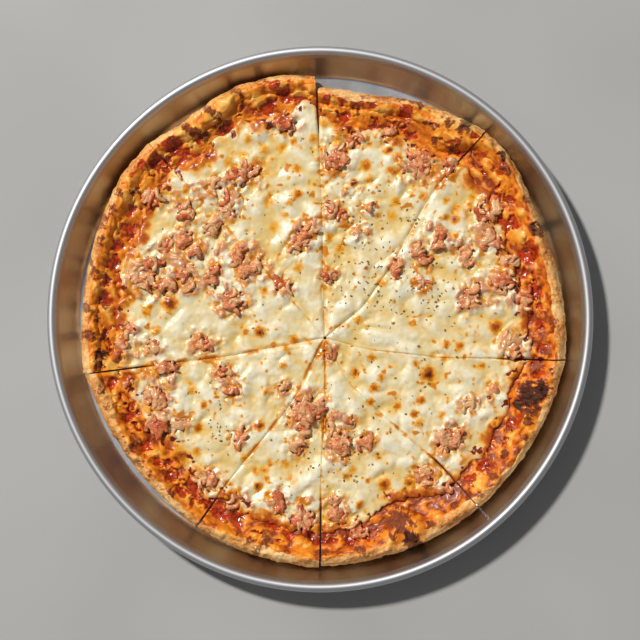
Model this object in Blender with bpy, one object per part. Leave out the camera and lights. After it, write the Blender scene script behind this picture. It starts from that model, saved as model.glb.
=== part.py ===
"""Deep dish pizza in its round pan, cut into eight slices.

Sizes and places are in metres. The origin is the centre of the pan's underside, +Z is up,
and +X points to the right of the pizza as it is seen from above.
"""
import math

import bmesh
import bpy
from mathutils import Vector, noise
from mathutils.bvhtree import BVHTree

GAP = 0.0003  # space kept between pieces that touch

# Pan: a 16 inch pan of sheet aluminium with a rolled rim
PAN_RADIUS = 0.2032
PAN_HEIGHT = 0.0260
PAN_SHEET = 0.0015
PAN_FLOOR_RADIUS = 0.1840  # where the wall would meet the floor inside
PAN_CORNER = 0.0025  # how far the inner corner is rounded off
PAN_BEAD = 0.0034  # radius of the rolled rim
PAN_SEGMENTS = 64
BEAD_STEPS = 7
BEAD_FROM = math.radians(-135)  # where the wall's outer side meets the bead
BEAD_TO = math.radians(180)  # where its inner side does

# Heights of the layers above the table
CRUST_UNDERSIDE = PAN_SHEET + GAP
BASE_TOP = 0.0093
SAUCE_UNDERSIDE = BASE_TOP + GAP
SAUCE_TOP = 0.0110
CHEESE_UNDERSIDE = SAUCE_TOP + GAP
CHEESE_TOP = 0.0142
CHEESE_EDGE = 0.0009  # how thick the cheese is where it ends
CREST_HEIGHT = 0.0226  # top of the crust's rim
CRUST_BELLY = 0.0115  # height at which the crust is widest

# Crust rim, as distances inward from the slice's outline
RIM_WIDTH = 0.0165
FOOT_INSET = 0.0034
FOOT_ROW = 4  # the rim's row of corners that stands right above its foot
FOOT_RADIUS = 0.1812  # the crust's underside stays inside the pan's corner
SIDE_RADIUS = 0.1850
SIDE_HEIGHT = 0.0058
SAUCE_CLEAR = 0.0012
CHEESE_INSET = 0.0235
CHEESE_RAGGED = 0.0035

# Cuts: half their width at the middle and at the rim, and how wide a slice's tip is
CUT_AT_HUB = 0.0003
CUT_AT_RIM = 0.0008
TIP_WIDTH = 0.0012
COLUMN_ANGLE = math.radians(5.0)  # one column of faces for about this much rim

# Where the cuts meet, and each cut's line from there out to the rim
HUB = (0.0035, -0.0139)
CUTS = (
    ((0.0353, -0.0226), (0.0915, -0.0289), (0.1829, -0.0304)),
    ((0.0311, 0.0084), (0.0527, 0.0390), (0.0759, 0.0815), (0.1251, 0.1420)),
    ((0.0024, 0.0256), (0.0013, 0.0815), (-0.0028, 0.1733)),
    ((-0.0592, 0.0569), (-0.1267, 0.1297)),
    ((-0.0735, -0.0284), (-0.1748, -0.0406)),
    ((-0.0210, -0.0625), (-0.0664, -0.1183), (-0.0920, -0.1540)),
    ((0.0040, -0.0572), (0.0010, -0.1071), (-0.0002, -0.1855)),
    ((0.0215, -0.0480), (0.0497, -0.0744), (0.0847, -0.1041), (0.1191, -0.1412)),
)

# Outer radius of each slice at even steps from its first cut to its second
RIM_RADII = (
    (0.1861, 0.1835, 0.1811, 0.1802, 0.1813, 0.1866, 0.1880),
    (0.1876, 0.1824, 0.1789, 0.1735, 0.1723, 0.1742),
    (0.1824, 0.1854, 0.1860, 0.1826, 0.1795, 0.1837),
    (0.1843, 0.1839, 0.1807, 0.1788, 0.1784, 0.1793, 0.1817),
    (0.1809, 0.1784, 0.1778, 0.1775, 0.1790, 0.1811),
    (0.1813, 0.1822, 0.1834, 0.1843, 0.1861),
    (0.1850, 0.1844, 0.1839, 0.1842, 0.1844, 0.1846),
    (0.1846, 0.1839, 0.1839, 0.1843, 0.1847, 0.1861),
)

# Bubbles in the rim: angle and half width in degrees, how far in they reach, how high they rise
BUBBLES = (
    (55.0, 7.0, 0.0150, 0.0014),
    (118.0, 6.0, 0.0050, 0.0010),
    (148.0, 5.0, 0.0020, 0.0008),
    (186.0, 5.0, 0.0030, 0.0010),
    (224.0, 6.0, 0.0025, 0.0008),
    (292.0, 6.0, 0.0180, 0.0014),
    (340.0, 6.5, 0.0165, 0.0016),
    (22.0, 5.0, 0.0010, 0.0006),
)
BARE_CUT_ANGLE = 93.0  # beside this angle the cheese runs out to the crust
BARE_CUT_WIDTH = 4.0

# Ham: place of each heap on the cheese, its length, its width and its turn in degrees
HAM = (
    (0.1375, 0.0285, 0.0245, 0.0150, 20),
    (0.1130, 0.0170, 0.0190, 0.0100, 62),
    (0.1530, 0.0150, 0.0175, 0.0090, 70),
    (0.1225, 0.0785, 0.0190, 0.0085, -15),
    (0.1100, 0.0480, 0.0165, 0.0100, -75),
    (0.1245, 0.0600, 0.0180, 0.0075, 55),
    (0.0880, 0.0585, 0.0125, 0.0090, 60),
    (0.0760, 0.0480, 0.0165, 0.0080, -60),
    (0.0735, 0.1160, 0.0270, 0.0180, 30),
    (0.0110, 0.1195, 0.0165, 0.0150, 30),
    (0.0255, 0.1345, 0.0125, 0.0085, 50),
    (0.0100, 0.0800, 0.0135, 0.0115, -30),
    (-0.0110, 0.0620, 0.0260, 0.0105, 48),
    (-0.0520, 0.0370, 0.0195, 0.0095, 45),
    (-0.0280, 0.0248, 0.0140, 0.0085, -40),
    (-0.0644, 0.0144, 0.0165, 0.0165, 0),
    (-0.0800, 0.0316, 0.0180, 0.0080, 70),
    (-0.0674, 0.0868, 0.0225, 0.0105, 70),
    (-0.0577, 0.1095, 0.0240, 0.0100, 20),
    (-0.0286, 0.1472, 0.0200, 0.0105, -20),
    (-0.1000, 0.0815, 0.0130, 0.0130, -30),
    (-0.1035, 0.0610, 0.0155, 0.0115, -20),
    (-0.1256, 0.0915, 0.0145, 0.0095, 10),
    (-0.1010, 0.0350, 0.0185, 0.0085, 60),
    (-0.1290, 0.0290, 0.0165, 0.0120, 70),
    (-0.1487, -0.0225, 0.0150, 0.0085, 65),
    (-0.0890, -0.0180, 0.0150, 0.0125, 20),
    (-0.1245, -0.0595, 0.0200, 0.0145, 10),
    (-0.1220, -0.0790, 0.0180, 0.0135, -15),
    (-0.0095, -0.0684, 0.0250, 0.0205, 35),
    (-0.0135, -0.1500, 0.0190, 0.0150, -20),
    (0.0130, -0.1438, 0.0195, 0.0120, -75),
    (0.0289, -0.1580, 0.0165, 0.0110, -10),
    (0.0154, -0.0950, 0.0180, 0.0130, 70),
    (0.0975, -0.0905, 0.0210, 0.0130, 45),
)
HAM_HEIGHT = 0.0046
HAM_LARGE = 0.0241  # heaps longer than this get finer faces
HAM_LUMP = 0.0055  # spacing of the lumps on a heap
HAM_ROUGH = 0.22  # how far they stand out, as a share of the heap's size

# Smaller ham that the cheese has covered: place, radius and height of each bump
COVERED_HAM = (
    (0.140, 0.044, 0.009, 0.0016),
    (0.097, 0.114, 0.008, 0.0016),
    (0.008, 0.031, 0.008, 0.0014),
    (-0.062, 0.050, 0.009, 0.0015),
    (-0.081, 0.068, 0.009, 0.0014),
    (-0.079, 0.100, 0.009, 0.0014),
    (-0.126, 0.043, 0.009, 0.0014),
    (-0.126, -0.020, 0.008, 0.0014),
    (-0.116, -0.037, 0.009, 0.0013),
    (-0.072, -0.040, 0.008, 0.0012),
    (-0.084, -0.119, 0.010, 0.0014),
    (-0.032, -0.137, 0.009, 0.0015),
    (-0.064, -0.137, 0.008, 0.0013),
    (0.079, -0.118, 0.009, 0.0015),
    (0.112, -0.064, 0.008, 0.0014),
    (0.034, -0.092, 0.008, 0.0013),
    (0.010, -0.072, 0.008, 0.0012),
)
CHEESE_WAVE = 0.019  # spacing of the cheese's swells
CHEESE_SWELL = 0.0009

# Rows of faces from a slice's tip outward, as distances from the hub, then shares of what is left
BASE_ROWS = (0.030, 0.065, 0.120)
CHEESE_ROWS = (0.012, 0.025, 0.037, 0.049, 0.061, 0.073, 0.085, 0.097, 0.109, 0.120)
CHEESE_EDGE_ROWS = (0.45, 0.85, 1.0)

COLOURS = {
    "pan": ((0.60, 0.59, 0.57), 0.35, 1.0),
    "crust": ((0.72, 0.38, 0.13), 0.65, 0.0),
    "sauce": ((0.30, 0.04, 0.01), 0.35, 0.0),
    "cheese": ((0.80, 0.66, 0.38), 0.35, 0.0),
    "ham": ((0.50, 0.22, 0.17), 0.45, 0.0),
}


def clear_scene():
    for old in list(bpy.data.objects):
        bpy.data.objects.remove(old, do_unlink=True)


def make_material(name, kind):
    colour, roughness, metallic = COLOURS[kind]
    material = bpy.data.materials.new(name)
    material.use_nodes = True
    shader = material.node_tree.nodes["Principled BSDF"]
    shader.inputs["Base Color"].default_value = (*colour, 1.0)
    shader.inputs["Roughness"].default_value = roughness
    shader.inputs["Metallic"].default_value = metallic
    return material


def add_object(name, kind, bm, parent, flat_angle=35.0):
    """Turns a bmesh into an object with outward faces and its own material."""
    bmesh.ops.remove_doubles(bm, verts=bm.verts, dist=1e-6)
    bmesh.ops.recalc_face_normals(bm, faces=bm.faces)
    mesh = bpy.data.meshes.new(name)
    bm.to_mesh(mesh)
    bm.free()
    mesh.shade_smooth()
    mesh.set_sharp_from_angle(angle=math.radians(flat_angle))
    mesh.materials.append(make_material(name, kind))
    thing = bpy.data.objects.new(name, mesh)
    bpy.context.scene.collection.objects.link(thing)
    thing.parent = parent
    return thing


def mix(a, b, share):
    return a + (b - a) * share


# Pan

def pan_profile():
    """Half section of the pan, from the middle of its underside round to the floor inside."""
    bead_centre = Vector((PAN_RADIUS - PAN_BEAD, PAN_HEIGHT - PAN_BEAD))
    bead = []
    for step in range(BEAD_STEPS + 1):
        angle = mix(BEAD_FROM, BEAD_TO, step / BEAD_STEPS)
        bead.append(bead_centre + PAN_BEAD * Vector((math.cos(angle), math.sin(angle))))
    floor_edge = Vector((PAN_FLOOR_RADIUS, PAN_SHEET))
    wall = (bead[-1] - floor_edge).normalized()
    outward = Vector((wall.y, -wall.x))
    heel = floor_edge + PAN_SHEET * outward
    inner_corner = (
        floor_edge + PAN_CORNER * wall,
        floor_edge + 0.25 * PAN_CORNER * (wall + Vector((-1.0, 0.0))),
        floor_edge - Vector((PAN_CORNER, 0.0)),
    )
    underside = [Vector((0.0, 0.0)), Vector((heel.x - PAN_SHEET, 0.0)), heel]
    return underside + bead + list(inner_corner) + [Vector((0.0, PAN_SHEET))]


def make_pan():
    bm = bmesh.new()
    line = [bm.verts.new((point.x, 0.0, point.y)) for point in pan_profile()]
    edges = [bm.edges.new(pair) for pair in zip(line, line[1:])]
    bmesh.ops.spin(bm, geom=line + edges, cent=(0, 0, 0), axis=(0, 0, 1), angle=math.tau,
                   steps=PAN_SEGMENTS, use_merge=True)
    return add_object("pan", "pan", bm, None)


# Shape of a slice, seen from above

def along(points, distance):
    """Point and direction at a distance along a line, which runs on straight past its end."""
    left = distance
    for start, end in zip(points, points[1:]):
        step = end - start
        if left <= step.length or end is points[-1]:
            return start + step.normalized() * left, step.normalized()
        left -= step.length


def distance_to_radius(points, radius):
    low = 0.0
    high = 2.0 * radius
    for _ in range(40):
        middle = 0.5 * (low + high)
        if along(points, middle)[0].length < radius:
            low = middle
        else:
            high = middle
    return low


class SliceShape:
    """Maps (across, out) to a place: across is 0 at one cut and 1 at the next, out is in metres."""

    def __init__(self, index):
        self.radii = RIM_RADII[index]
        ends = ((index, self.radii[0], 1.0), ((index + 1) % len(CUTS), self.radii[-1], -1.0))
        self.sides = []
        for cut, radius, side in ends:
            line = [Vector(HUB)] + [Vector(point) for point in CUTS[cut]]
            self.sides.append((line, distance_to_radius(line, radius), side))
        first = self.side_point(0, self.length(0.0))
        last = self.side_point(1, self.length(1.0))
        self.first_angle = math.atan2(first.y, first.x)
        self.span = (math.atan2(last.y, last.x) - self.first_angle) % math.tau
        self.columns = round(self.span / COLUMN_ANGLE)
        middle = self.first_angle + 0.5 * self.span
        crosswise = Vector((-math.sin(middle), math.cos(middle)))
        self.tip = 0.0
        while (self.side_point(1, self.tip) - self.side_point(0, self.tip)) @ crosswise < TIP_WIDTH:
            self.tip += 0.0005

    def length(self, across):
        """Distance from the hub out to the rim."""
        return mix(self.sides[0][1], self.sides[1][1], across)

    def side_point(self, which, out):
        line, length, side = self.sides[which]
        point, direction = along(line, out)
        half_cut = mix(CUT_AT_HUB, CUT_AT_RIM, (out / length) ** 2)
        return point + side * half_cut * Vector((-direction.y, direction.x))

    def angle(self, across):
        return self.first_angle + self.span * across

    def radius(self, across):
        place = across * (len(self.radii) - 1)
        before = min(int(place), len(self.radii) - 2)
        return mix(self.radii[before], self.radii[before + 1], place - before)

    def between(self, across, out):
        return mix(self.side_point(0, out), self.side_point(1, out), across)

    def point(self, across, out):
        """Place on the slice, bulged out so that it meets the outline at the rim."""
        length = self.length(across)
        angle = self.angle(across)
        rim = self.radius(across) * Vector((math.cos(angle), math.sin(angle)))
        bulge = rim - self.between(across, length)
        return self.between(across, out) + bulge * (out / length) ** 2

    def out_at(self, across, inset):
        """Distance from the hub of a point that lies this far inside the rim."""
        length = self.length(across)
        step = 0.005
        stretch = (self.point(across, length) - self.point(across, length - step)).length / step
        return length - inset / stretch


def bubble_amount(angle):
    """How far the bubbles widen the rim and how far they raise it at an angle."""
    degrees = math.degrees(angle) % 360.0
    wider = 0.0
    higher = 0.0
    for centre, half_width, reach, rise in BUBBLES:
        away = (degrees - centre + 180.0) % 360.0 - 180.0
        weight = math.exp(-((away / half_width) ** 2))
        wider += reach * weight
        higher += rise * weight
    return wider, higher


def rim_noise(angle, spacing, level):
    around = PAN_RADIUS * Vector((math.cos(angle), math.sin(angle)))
    return noise.noise(Vector((around.x / spacing, around.y / spacing, level)))


def rim_width(angle):
    return RIM_WIDTH + bubble_amount(angle)[0] + 0.0015 * rim_noise(angle, 0.024, 1.0)


def crest_height(angle):
    return CREST_HEIGHT + bubble_amount(angle)[1] + 0.0012 * rim_noise(angle, 0.020, 5.0)


def cheese_inset(angle):
    degrees = math.degrees(angle) % 360.0
    inset = CHEESE_INSET + CHEESE_RAGGED * rim_noise(angle, 0.017, 9.0)
    bare = math.exp(-(((degrees - BARE_CUT_ANGLE) / BARE_CUT_WIDTH) ** 2))
    return max(rim_width(angle) + 0.0022, mix(inset, RIM_WIDTH, bare))


def foot_inset(shape, across):
    return max(FOOT_INSET, shape.radius(across) - FOOT_RADIUS)


def rim_rows(shape, across):
    """The crust's rim from its inner toe over the crest to its foot: inset and height."""
    angle = shape.angle(across)
    width = rim_width(angle)
    crest = crest_height(angle)
    foot = foot_inset(shape, across)
    side = max(0.0010, shape.radius(across) - SIDE_RADIUS)
    crest_inset = max(0.45 * width, foot + 0.0020)
    return (
        (width, BASE_TOP),
        (mix(crest_inset, width, 0.68), mix(BASE_TOP, crest, 0.50)),
        (mix(crest_inset, width, 0.33), mix(BASE_TOP, crest, 0.88)),
        (crest_inset, crest),
        (foot, crest - 0.0012),
        (0.35 * foot, crest - 0.0050),
        (0.0, CRUST_BELLY),
        (side, SIDE_HEIGHT),
        (foot, CRUST_UNDERSIDE),
    )


def cheese_height(place):
    wave = Vector((place.x / CHEESE_WAVE, place.y / CHEESE_WAVE, 3.0))
    height = CHEESE_TOP + CHEESE_SWELL * (noise.noise(wave) + 0.6 * noise.noise(2.3 * wave))
    for x, y, radius, rise in COVERED_HAM:
        away = (place - Vector((x, y))).length / radius
        height += rise * math.exp(-away * away)
    return height


# Layers of a slice

def layer_grid(columns, rows, place_at):
    """A grid of faces whose corners place_at puts, and its corners by row and column."""
    bm = bmesh.new()
    made = bmesh.ops.create_grid(bm, x_segments=columns, y_segments=rows - 1, size=0.5)["verts"]
    corners = [[None] * (columns + 1) for _ in range(rows)]
    for vert in made:
        column = round((vert.co.x + 0.5) * columns)
        row = round((vert.co.y + 0.5) * (rows - 1))
        corners[row][column] = vert
        vert.co = place_at(row, column / columns)
    return bm, corners


def drop_walls(bm, chain, bottom):
    """Walls from a chain of corners straight down to one height; returns the lower corners."""
    below = [bm.verts.new((vert.co.x, vert.co.y, bottom)) for vert in chain]
    for here in range(len(chain) - 1):
        bm.faces.new((chain[here], chain[here + 1], below[here + 1], below[here]))
    return below


def sides_and_tip(corners, last_row):
    """Corners from the first cut's side in to the tip and out again along the second cut."""
    first = [corners[row][0] for row in range(last_row, 0, -1)]
    second = [corners[row][-1] for row in range(1, last_row + 1)]
    return first + corners[0] + second


def make_crust(index, shape, parent):
    base = (shape.tip,) + BASE_ROWS
    inner = len(base)

    def place_at(row, across):
        if row < inner:
            place = shape.point(across, base[row])
            return Vector((place.x, place.y, BASE_TOP))
        inset, height = rim_rows(shape, across)[row - inner]
        place = shape.point(across, shape.out_at(across, inset))
        return Vector((place.x, place.y, height))

    rows = inner + len(rim_rows(shape, 0.0))
    foot_row = inner + FOOT_ROW
    bm, corners = layer_grid(shape.columns, rows, place_at)
    below = drop_walls(bm, sides_and_tip(corners, foot_row), CRUST_UNDERSIDE)
    for side in (0, -1):
        bm.faces.new([corners[row][side] for row in range(foot_row, rows)])
    bm.faces.new(below[1:-1] + corners[-1][::-1])
    return add_object(f"crust_{index + 1}", "crust", bm, parent)


def make_slab(name, kind, shape, parent, rows, edge_rows, inset_at, top_at, edge_height, bottom):
    """A layer with a flat underside, from the tip to a distance inside the rim."""
    inner = (shape.tip,) + rows
    last = len(inner) + len(edge_rows) - 1

    def place_at(row, across):
        edge = shape.out_at(across, inset_at(shape.angle(across)))
        if row < len(inner):
            out = inner[row]
        else:
            out = mix(inner[-1], edge, edge_rows[row - len(inner)])
        place = shape.point(across, out)
        return Vector((place.x, place.y, edge_height if row == last else top_at(place)))

    bm, corners = layer_grid(shape.columns, last + 1, place_at)
    chain = sides_and_tip(corners, last) + corners[-1][-2::-1]
    below = drop_walls(bm, chain, bottom)
    bm.faces.new(below[:-1])
    return add_object(name, kind, bm, parent)


def make_sauce(index, shape, parent):
    return make_slab(
        f"sauce_{index + 1}", "sauce", shape, parent, BASE_ROWS, (1.0,),
        inset_at=lambda angle: rim_width(angle) + SAUCE_CLEAR,
        top_at=lambda place: SAUCE_TOP,
        edge_height=mix(SAUCE_UNDERSIDE, SAUCE_TOP, 0.5), bottom=SAUCE_UNDERSIDE)


def make_cheese(index, shape, parent):
    return make_slab(
        f"cheese_{index + 1}", "cheese", shape, parent, CHEESE_ROWS, CHEESE_EDGE_ROWS,
        inset_at=cheese_inset, top_at=cheese_height,
        edge_height=CHEESE_UNDERSIDE + CHEESE_EDGE, bottom=CHEESE_UNDERSIDE)


# Ham on the cheese

def highest_under(cheeses, tree, centre, length, width, turn):
    """Highest point of the cheese and crust inside an ellipse seen from above."""
    lengthwise = Vector((math.cos(turn), math.sin(turn)))
    crosswise = Vector((-lengthwise.y, lengthwise.x))
    heights = []
    for step in range(24):
        angle = math.tau * step / 24
        edge = centre + 0.5 * (length * math.cos(angle) * lengthwise
                               + width * math.sin(angle) * crosswise)
        hit = tree.ray_cast(Vector((edge.x, edge.y, 2.0 * PAN_HEIGHT)), Vector((0, 0, -1)))[0]
        if hit is not None:
            heights.append(hit.z)
    for cheese in cheeses:
        for vert in cheese.data.vertices:
            away = vert.co.xy - centre
            across = 2.0 * away.dot(lengthwise) / length
            beside = 2.0 * away.dot(crosswise) / width
            if across * across + beside * beside <= 1.0:
                heights.append(vert.co.z)
    return max(heights)


def make_ham(index, cheeses, tree, parent):
    x, y, length, width, turn = HAM[index]
    bm = bmesh.new()
    fineness = 3 if length > HAM_LARGE else 2
    bmesh.ops.create_icosphere(bm, subdivisions=fineness, radius=1.0)
    for vert in bm.verts:
        real = Vector((vert.co.x * length, vert.co.y * width, vert.co.z * HAM_HEIGHT))
        lump = noise.noise(0.5 * real / HAM_LUMP + Vector((7.0 * index, 0.0, 0.0)))
        swollen = vert.co * (1.0 + HAM_ROUGH * lump)
        height = max(0.0, HAM_HEIGHT * (0.45 + 0.55 * swollen.z))
        vert.co = Vector((0.5 * length * swollen.x, 0.5 * width * swollen.y, height))
    ham = add_object(f"ham_{index + 1:02d}", "ham", bm, parent)
    centre = Vector((x, y))
    room = 1.0 + HAM_ROUGH
    rest = highest_under(cheeses, tree, centre, room * length, room * width, math.radians(turn))
    ham.location = (x, y, rest + GAP)
    ham.rotation_euler = (0.0, 0.0, math.radians(turn))
    return ham


def surface_tree(things):
    corners = []
    faces = []
    for thing in things:
        first = len(corners)
        corners += [vert.co.copy() for vert in thing.data.vertices]
        faces += [[first + corner for corner in face.vertices] for face in thing.data.polygons]
    return BVHTree.FromPolygons(corners, faces)


def main():
    clear_scene()
    make_pan()
    pizza = bpy.data.objects.new("pizza", None)
    bpy.context.scene.collection.objects.link(pizza)
    crusts = []
    cheeses = []
    for index in range(len(CUTS)):
        shape = SliceShape(index)
        crusts.append(make_crust(index, shape, pizza))
        make_sauce(index, shape, pizza)
        cheeses.append(make_cheese(index, shape, pizza))
    tree = surface_tree(crusts + cheeses)
    for index in range(len(HAM)):
        make_ham(index, cheeses, tree, pizza)


main()
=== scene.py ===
import math

import bmesh
import bpy
import numpy as np
from mathutils import Matrix, Vector


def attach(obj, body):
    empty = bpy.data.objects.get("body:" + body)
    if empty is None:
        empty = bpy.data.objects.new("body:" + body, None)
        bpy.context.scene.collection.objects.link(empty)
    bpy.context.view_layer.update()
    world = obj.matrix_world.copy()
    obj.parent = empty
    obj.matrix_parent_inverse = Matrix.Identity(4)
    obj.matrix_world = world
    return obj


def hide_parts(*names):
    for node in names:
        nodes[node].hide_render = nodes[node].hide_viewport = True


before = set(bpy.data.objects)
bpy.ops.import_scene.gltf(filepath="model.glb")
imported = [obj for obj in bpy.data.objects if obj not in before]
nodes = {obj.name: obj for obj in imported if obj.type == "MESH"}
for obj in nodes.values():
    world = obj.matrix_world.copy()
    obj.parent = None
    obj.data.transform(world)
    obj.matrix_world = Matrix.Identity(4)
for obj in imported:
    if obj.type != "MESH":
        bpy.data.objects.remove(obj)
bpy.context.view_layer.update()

sliceNumbers = range(1, 9)
hub = np.array((0.0035, -0.0139))  # where the cuts meet

# The photograph, looked at from straight above: its scale at the pizza's top, and the pan's middle
photo = {"pixel": 0.000746, "middleX": 320.3, "middleY": 319.3}


def placeOf(pixelX, pixelY):
    x = (pixelX - photo["middleX"]) * photo["pixel"]
    y = (photo["middleY"] - pixelY) * photo["pixel"]
    return x, y


# Noise on numpy arrays

noiseRandom = np.random.default_rng(41)
noiseOrder = noiseRandom.permutation(1024)
noiseSlopes = noiseRandom.normal(size=(1024, 3))
noiseSlopes /= np.linalg.norm(noiseSlopes, axis=1)[:, None]


def hashOf(a, b, c):
    return noiseOrder[(noiseOrder[(noiseOrder[a & 1023] + b) & 1023] + c) & 1023]


def noiseAt(x, y, z, size):
    # smooth noise from about -1 to 1, with lumps of about this size
    px, py, pz = x / size, y / size, z / size + np.zeros_like(x)
    ix, iy, iz = (np.floor(p).astype(np.int64) for p in (px, py, pz))
    fx, fy, fz = px - ix, py - iy, pz - iz
    ux, uy, uz = (f * f * f * (f * (f * 6 - 15) + 10) for f in (fx, fy, fz))
    total = np.zeros_like(px)
    for cx in (0, 1):
        for cy in (0, 1):
            for cz in (0, 1):
                slope = noiseSlopes[hashOf(ix + cx, iy + cy, iz + cz)]
                reach = slope[:, 0] * (fx - cx) + slope[:, 1] * (fy - cy) + slope[:, 2] * (fz - cz)
                share = (ux if cx else 1 - ux) * (uy if cy else 1 - uy) * (uz if cz else 1 - uz)
                total += share * reach
    return 1.5 * total


def layeredNoise(x, y, z, size, layers, fade=0.5):
    total = np.zeros_like(x)
    strength = 1.0
    for layer in range(layers):
        total += strength * noiseAt(x + 0.37 * layer, y - 0.21 * layer, z, size)
        size *= 0.5
        strength *= fade
    return total


def swayed(x, y, strength, size, levels, layers=3, fade=0.6):
    # the places pushed about by noise, which makes what is drawn there ragged
    pushX, pushY = (strength * layeredNoise(x, y, level, size, layers, fade) for level in levels)
    return x + pushX, y + pushY


def creased(noise, soft, level):
    # noise folded into round hills with creases between them
    return np.sqrt(noise ** 2 + soft) - level


def cellsAt(x, y, size, seed):
    # distance to the nearest scattered point, in cell sizes, and that cell's own random number
    px, py = x / size, y / size
    ix, iy = np.floor(px).astype(np.int64), np.floor(py).astype(np.int64)
    nearest = np.full_like(px, 9.0)
    number = np.zeros_like(px)
    for stepX in (-1, 0, 1):
        for stepY in (-1, 0, 1):
            code = hashOf(ix + stepX, iy + stepY, np.full_like(ix, seed))
            pointX = ix + stepX + 0.5 + 0.42 * np.sin(code * 2.399)
            pointY = iy + stepY + 0.5 + 0.42 * np.cos(code * 1.713)
            away = np.hypot(px - pointX, py - pointY)
            closer = away < nearest
            nearest = np.where(closer, away, nearest)
            number = np.where(closer, (code % 97) / 96.0, number)
    return nearest, number


def smoothStep(low, high, value):
    share = np.clip((value - low) / (high - low), 0.0, 1.0)
    return share * share * (3.0 - 2.0 * share)


def blend(a, b, share):
    return a + (b - a) * share


def dabs(x, y, marks, edge=0.45):
    # round marks (pixelX, pixelY, radius in pixels, strength): their strength inside, 0 past the edge
    total = np.zeros_like(x)
    for pixelX, pixelY, radius, strength in marks:
        cx, cy = placeOf(pixelX, pixelY)
        reach = radius * photo["pixel"]
        near = (np.abs(x - cx) < 1.6 * reach) & (np.abs(y - cy) < 1.6 * reach)
        if near.any():
            away = np.hypot(x[near] - cx, y[near] - cy) / reach
            total[near] = np.maximum(total[near], strength * (1.0 - smoothStep(edge, 1.35, away)))
    return total


# Slices: their cuts and outline, read from the solids

def pointsOf(piece):
    mesh = piece.data
    flat = np.empty(3 * len(mesh.vertices), np.float32)
    mesh.vertices.foreach_get("co", flat)
    return flat.reshape(-1, 3).astype(float)


def cubic(a, b, slopeA, slopeB, t):
    # smooth curve from a to b, as t runs from 0 to 1
    return (a * (2 * t ** 3 - 3 * t ** 2 + 1) + slopeA * (t ** 3 - 2 * t ** 2 + t)
            + b * (3 * t ** 2 - 2 * t ** 3) + slopeB * (t ** 3 - t ** 2))


def smoothCurve(at, places, values):
    slopes = np.gradient(values, places)
    index = np.clip(np.searchsorted(places, at) - 1, 0, len(places) - 2)
    width = places[index + 1] - places[index]
    t = np.clip((at - places[index]) / width, 0.0, 1.0)
    return cubic(values[index], values[index + 1], width * slopes[index], width * slopes[index + 1], t)


def turnedTo(angle, middle):
    return middle + (angle - middle + math.pi) % math.tau - math.pi


def onCircle(angle, radius):
    return radius * np.cos(angle), radius * np.sin(angle)


def swellsAt(angle, marks, column=2):
    # marks (degrees round the pizza, half width in degrees, values): one of their values, spread smoothly
    total = np.zeros_like(angle)
    for mark in marks:
        middle, halfWidth = math.radians(mark[0]), math.radians(mark[1])
        total += mark[column] * np.exp(-((turnedTo(angle, middle) - middle) / halfWidth) ** 2)
    return total


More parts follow.
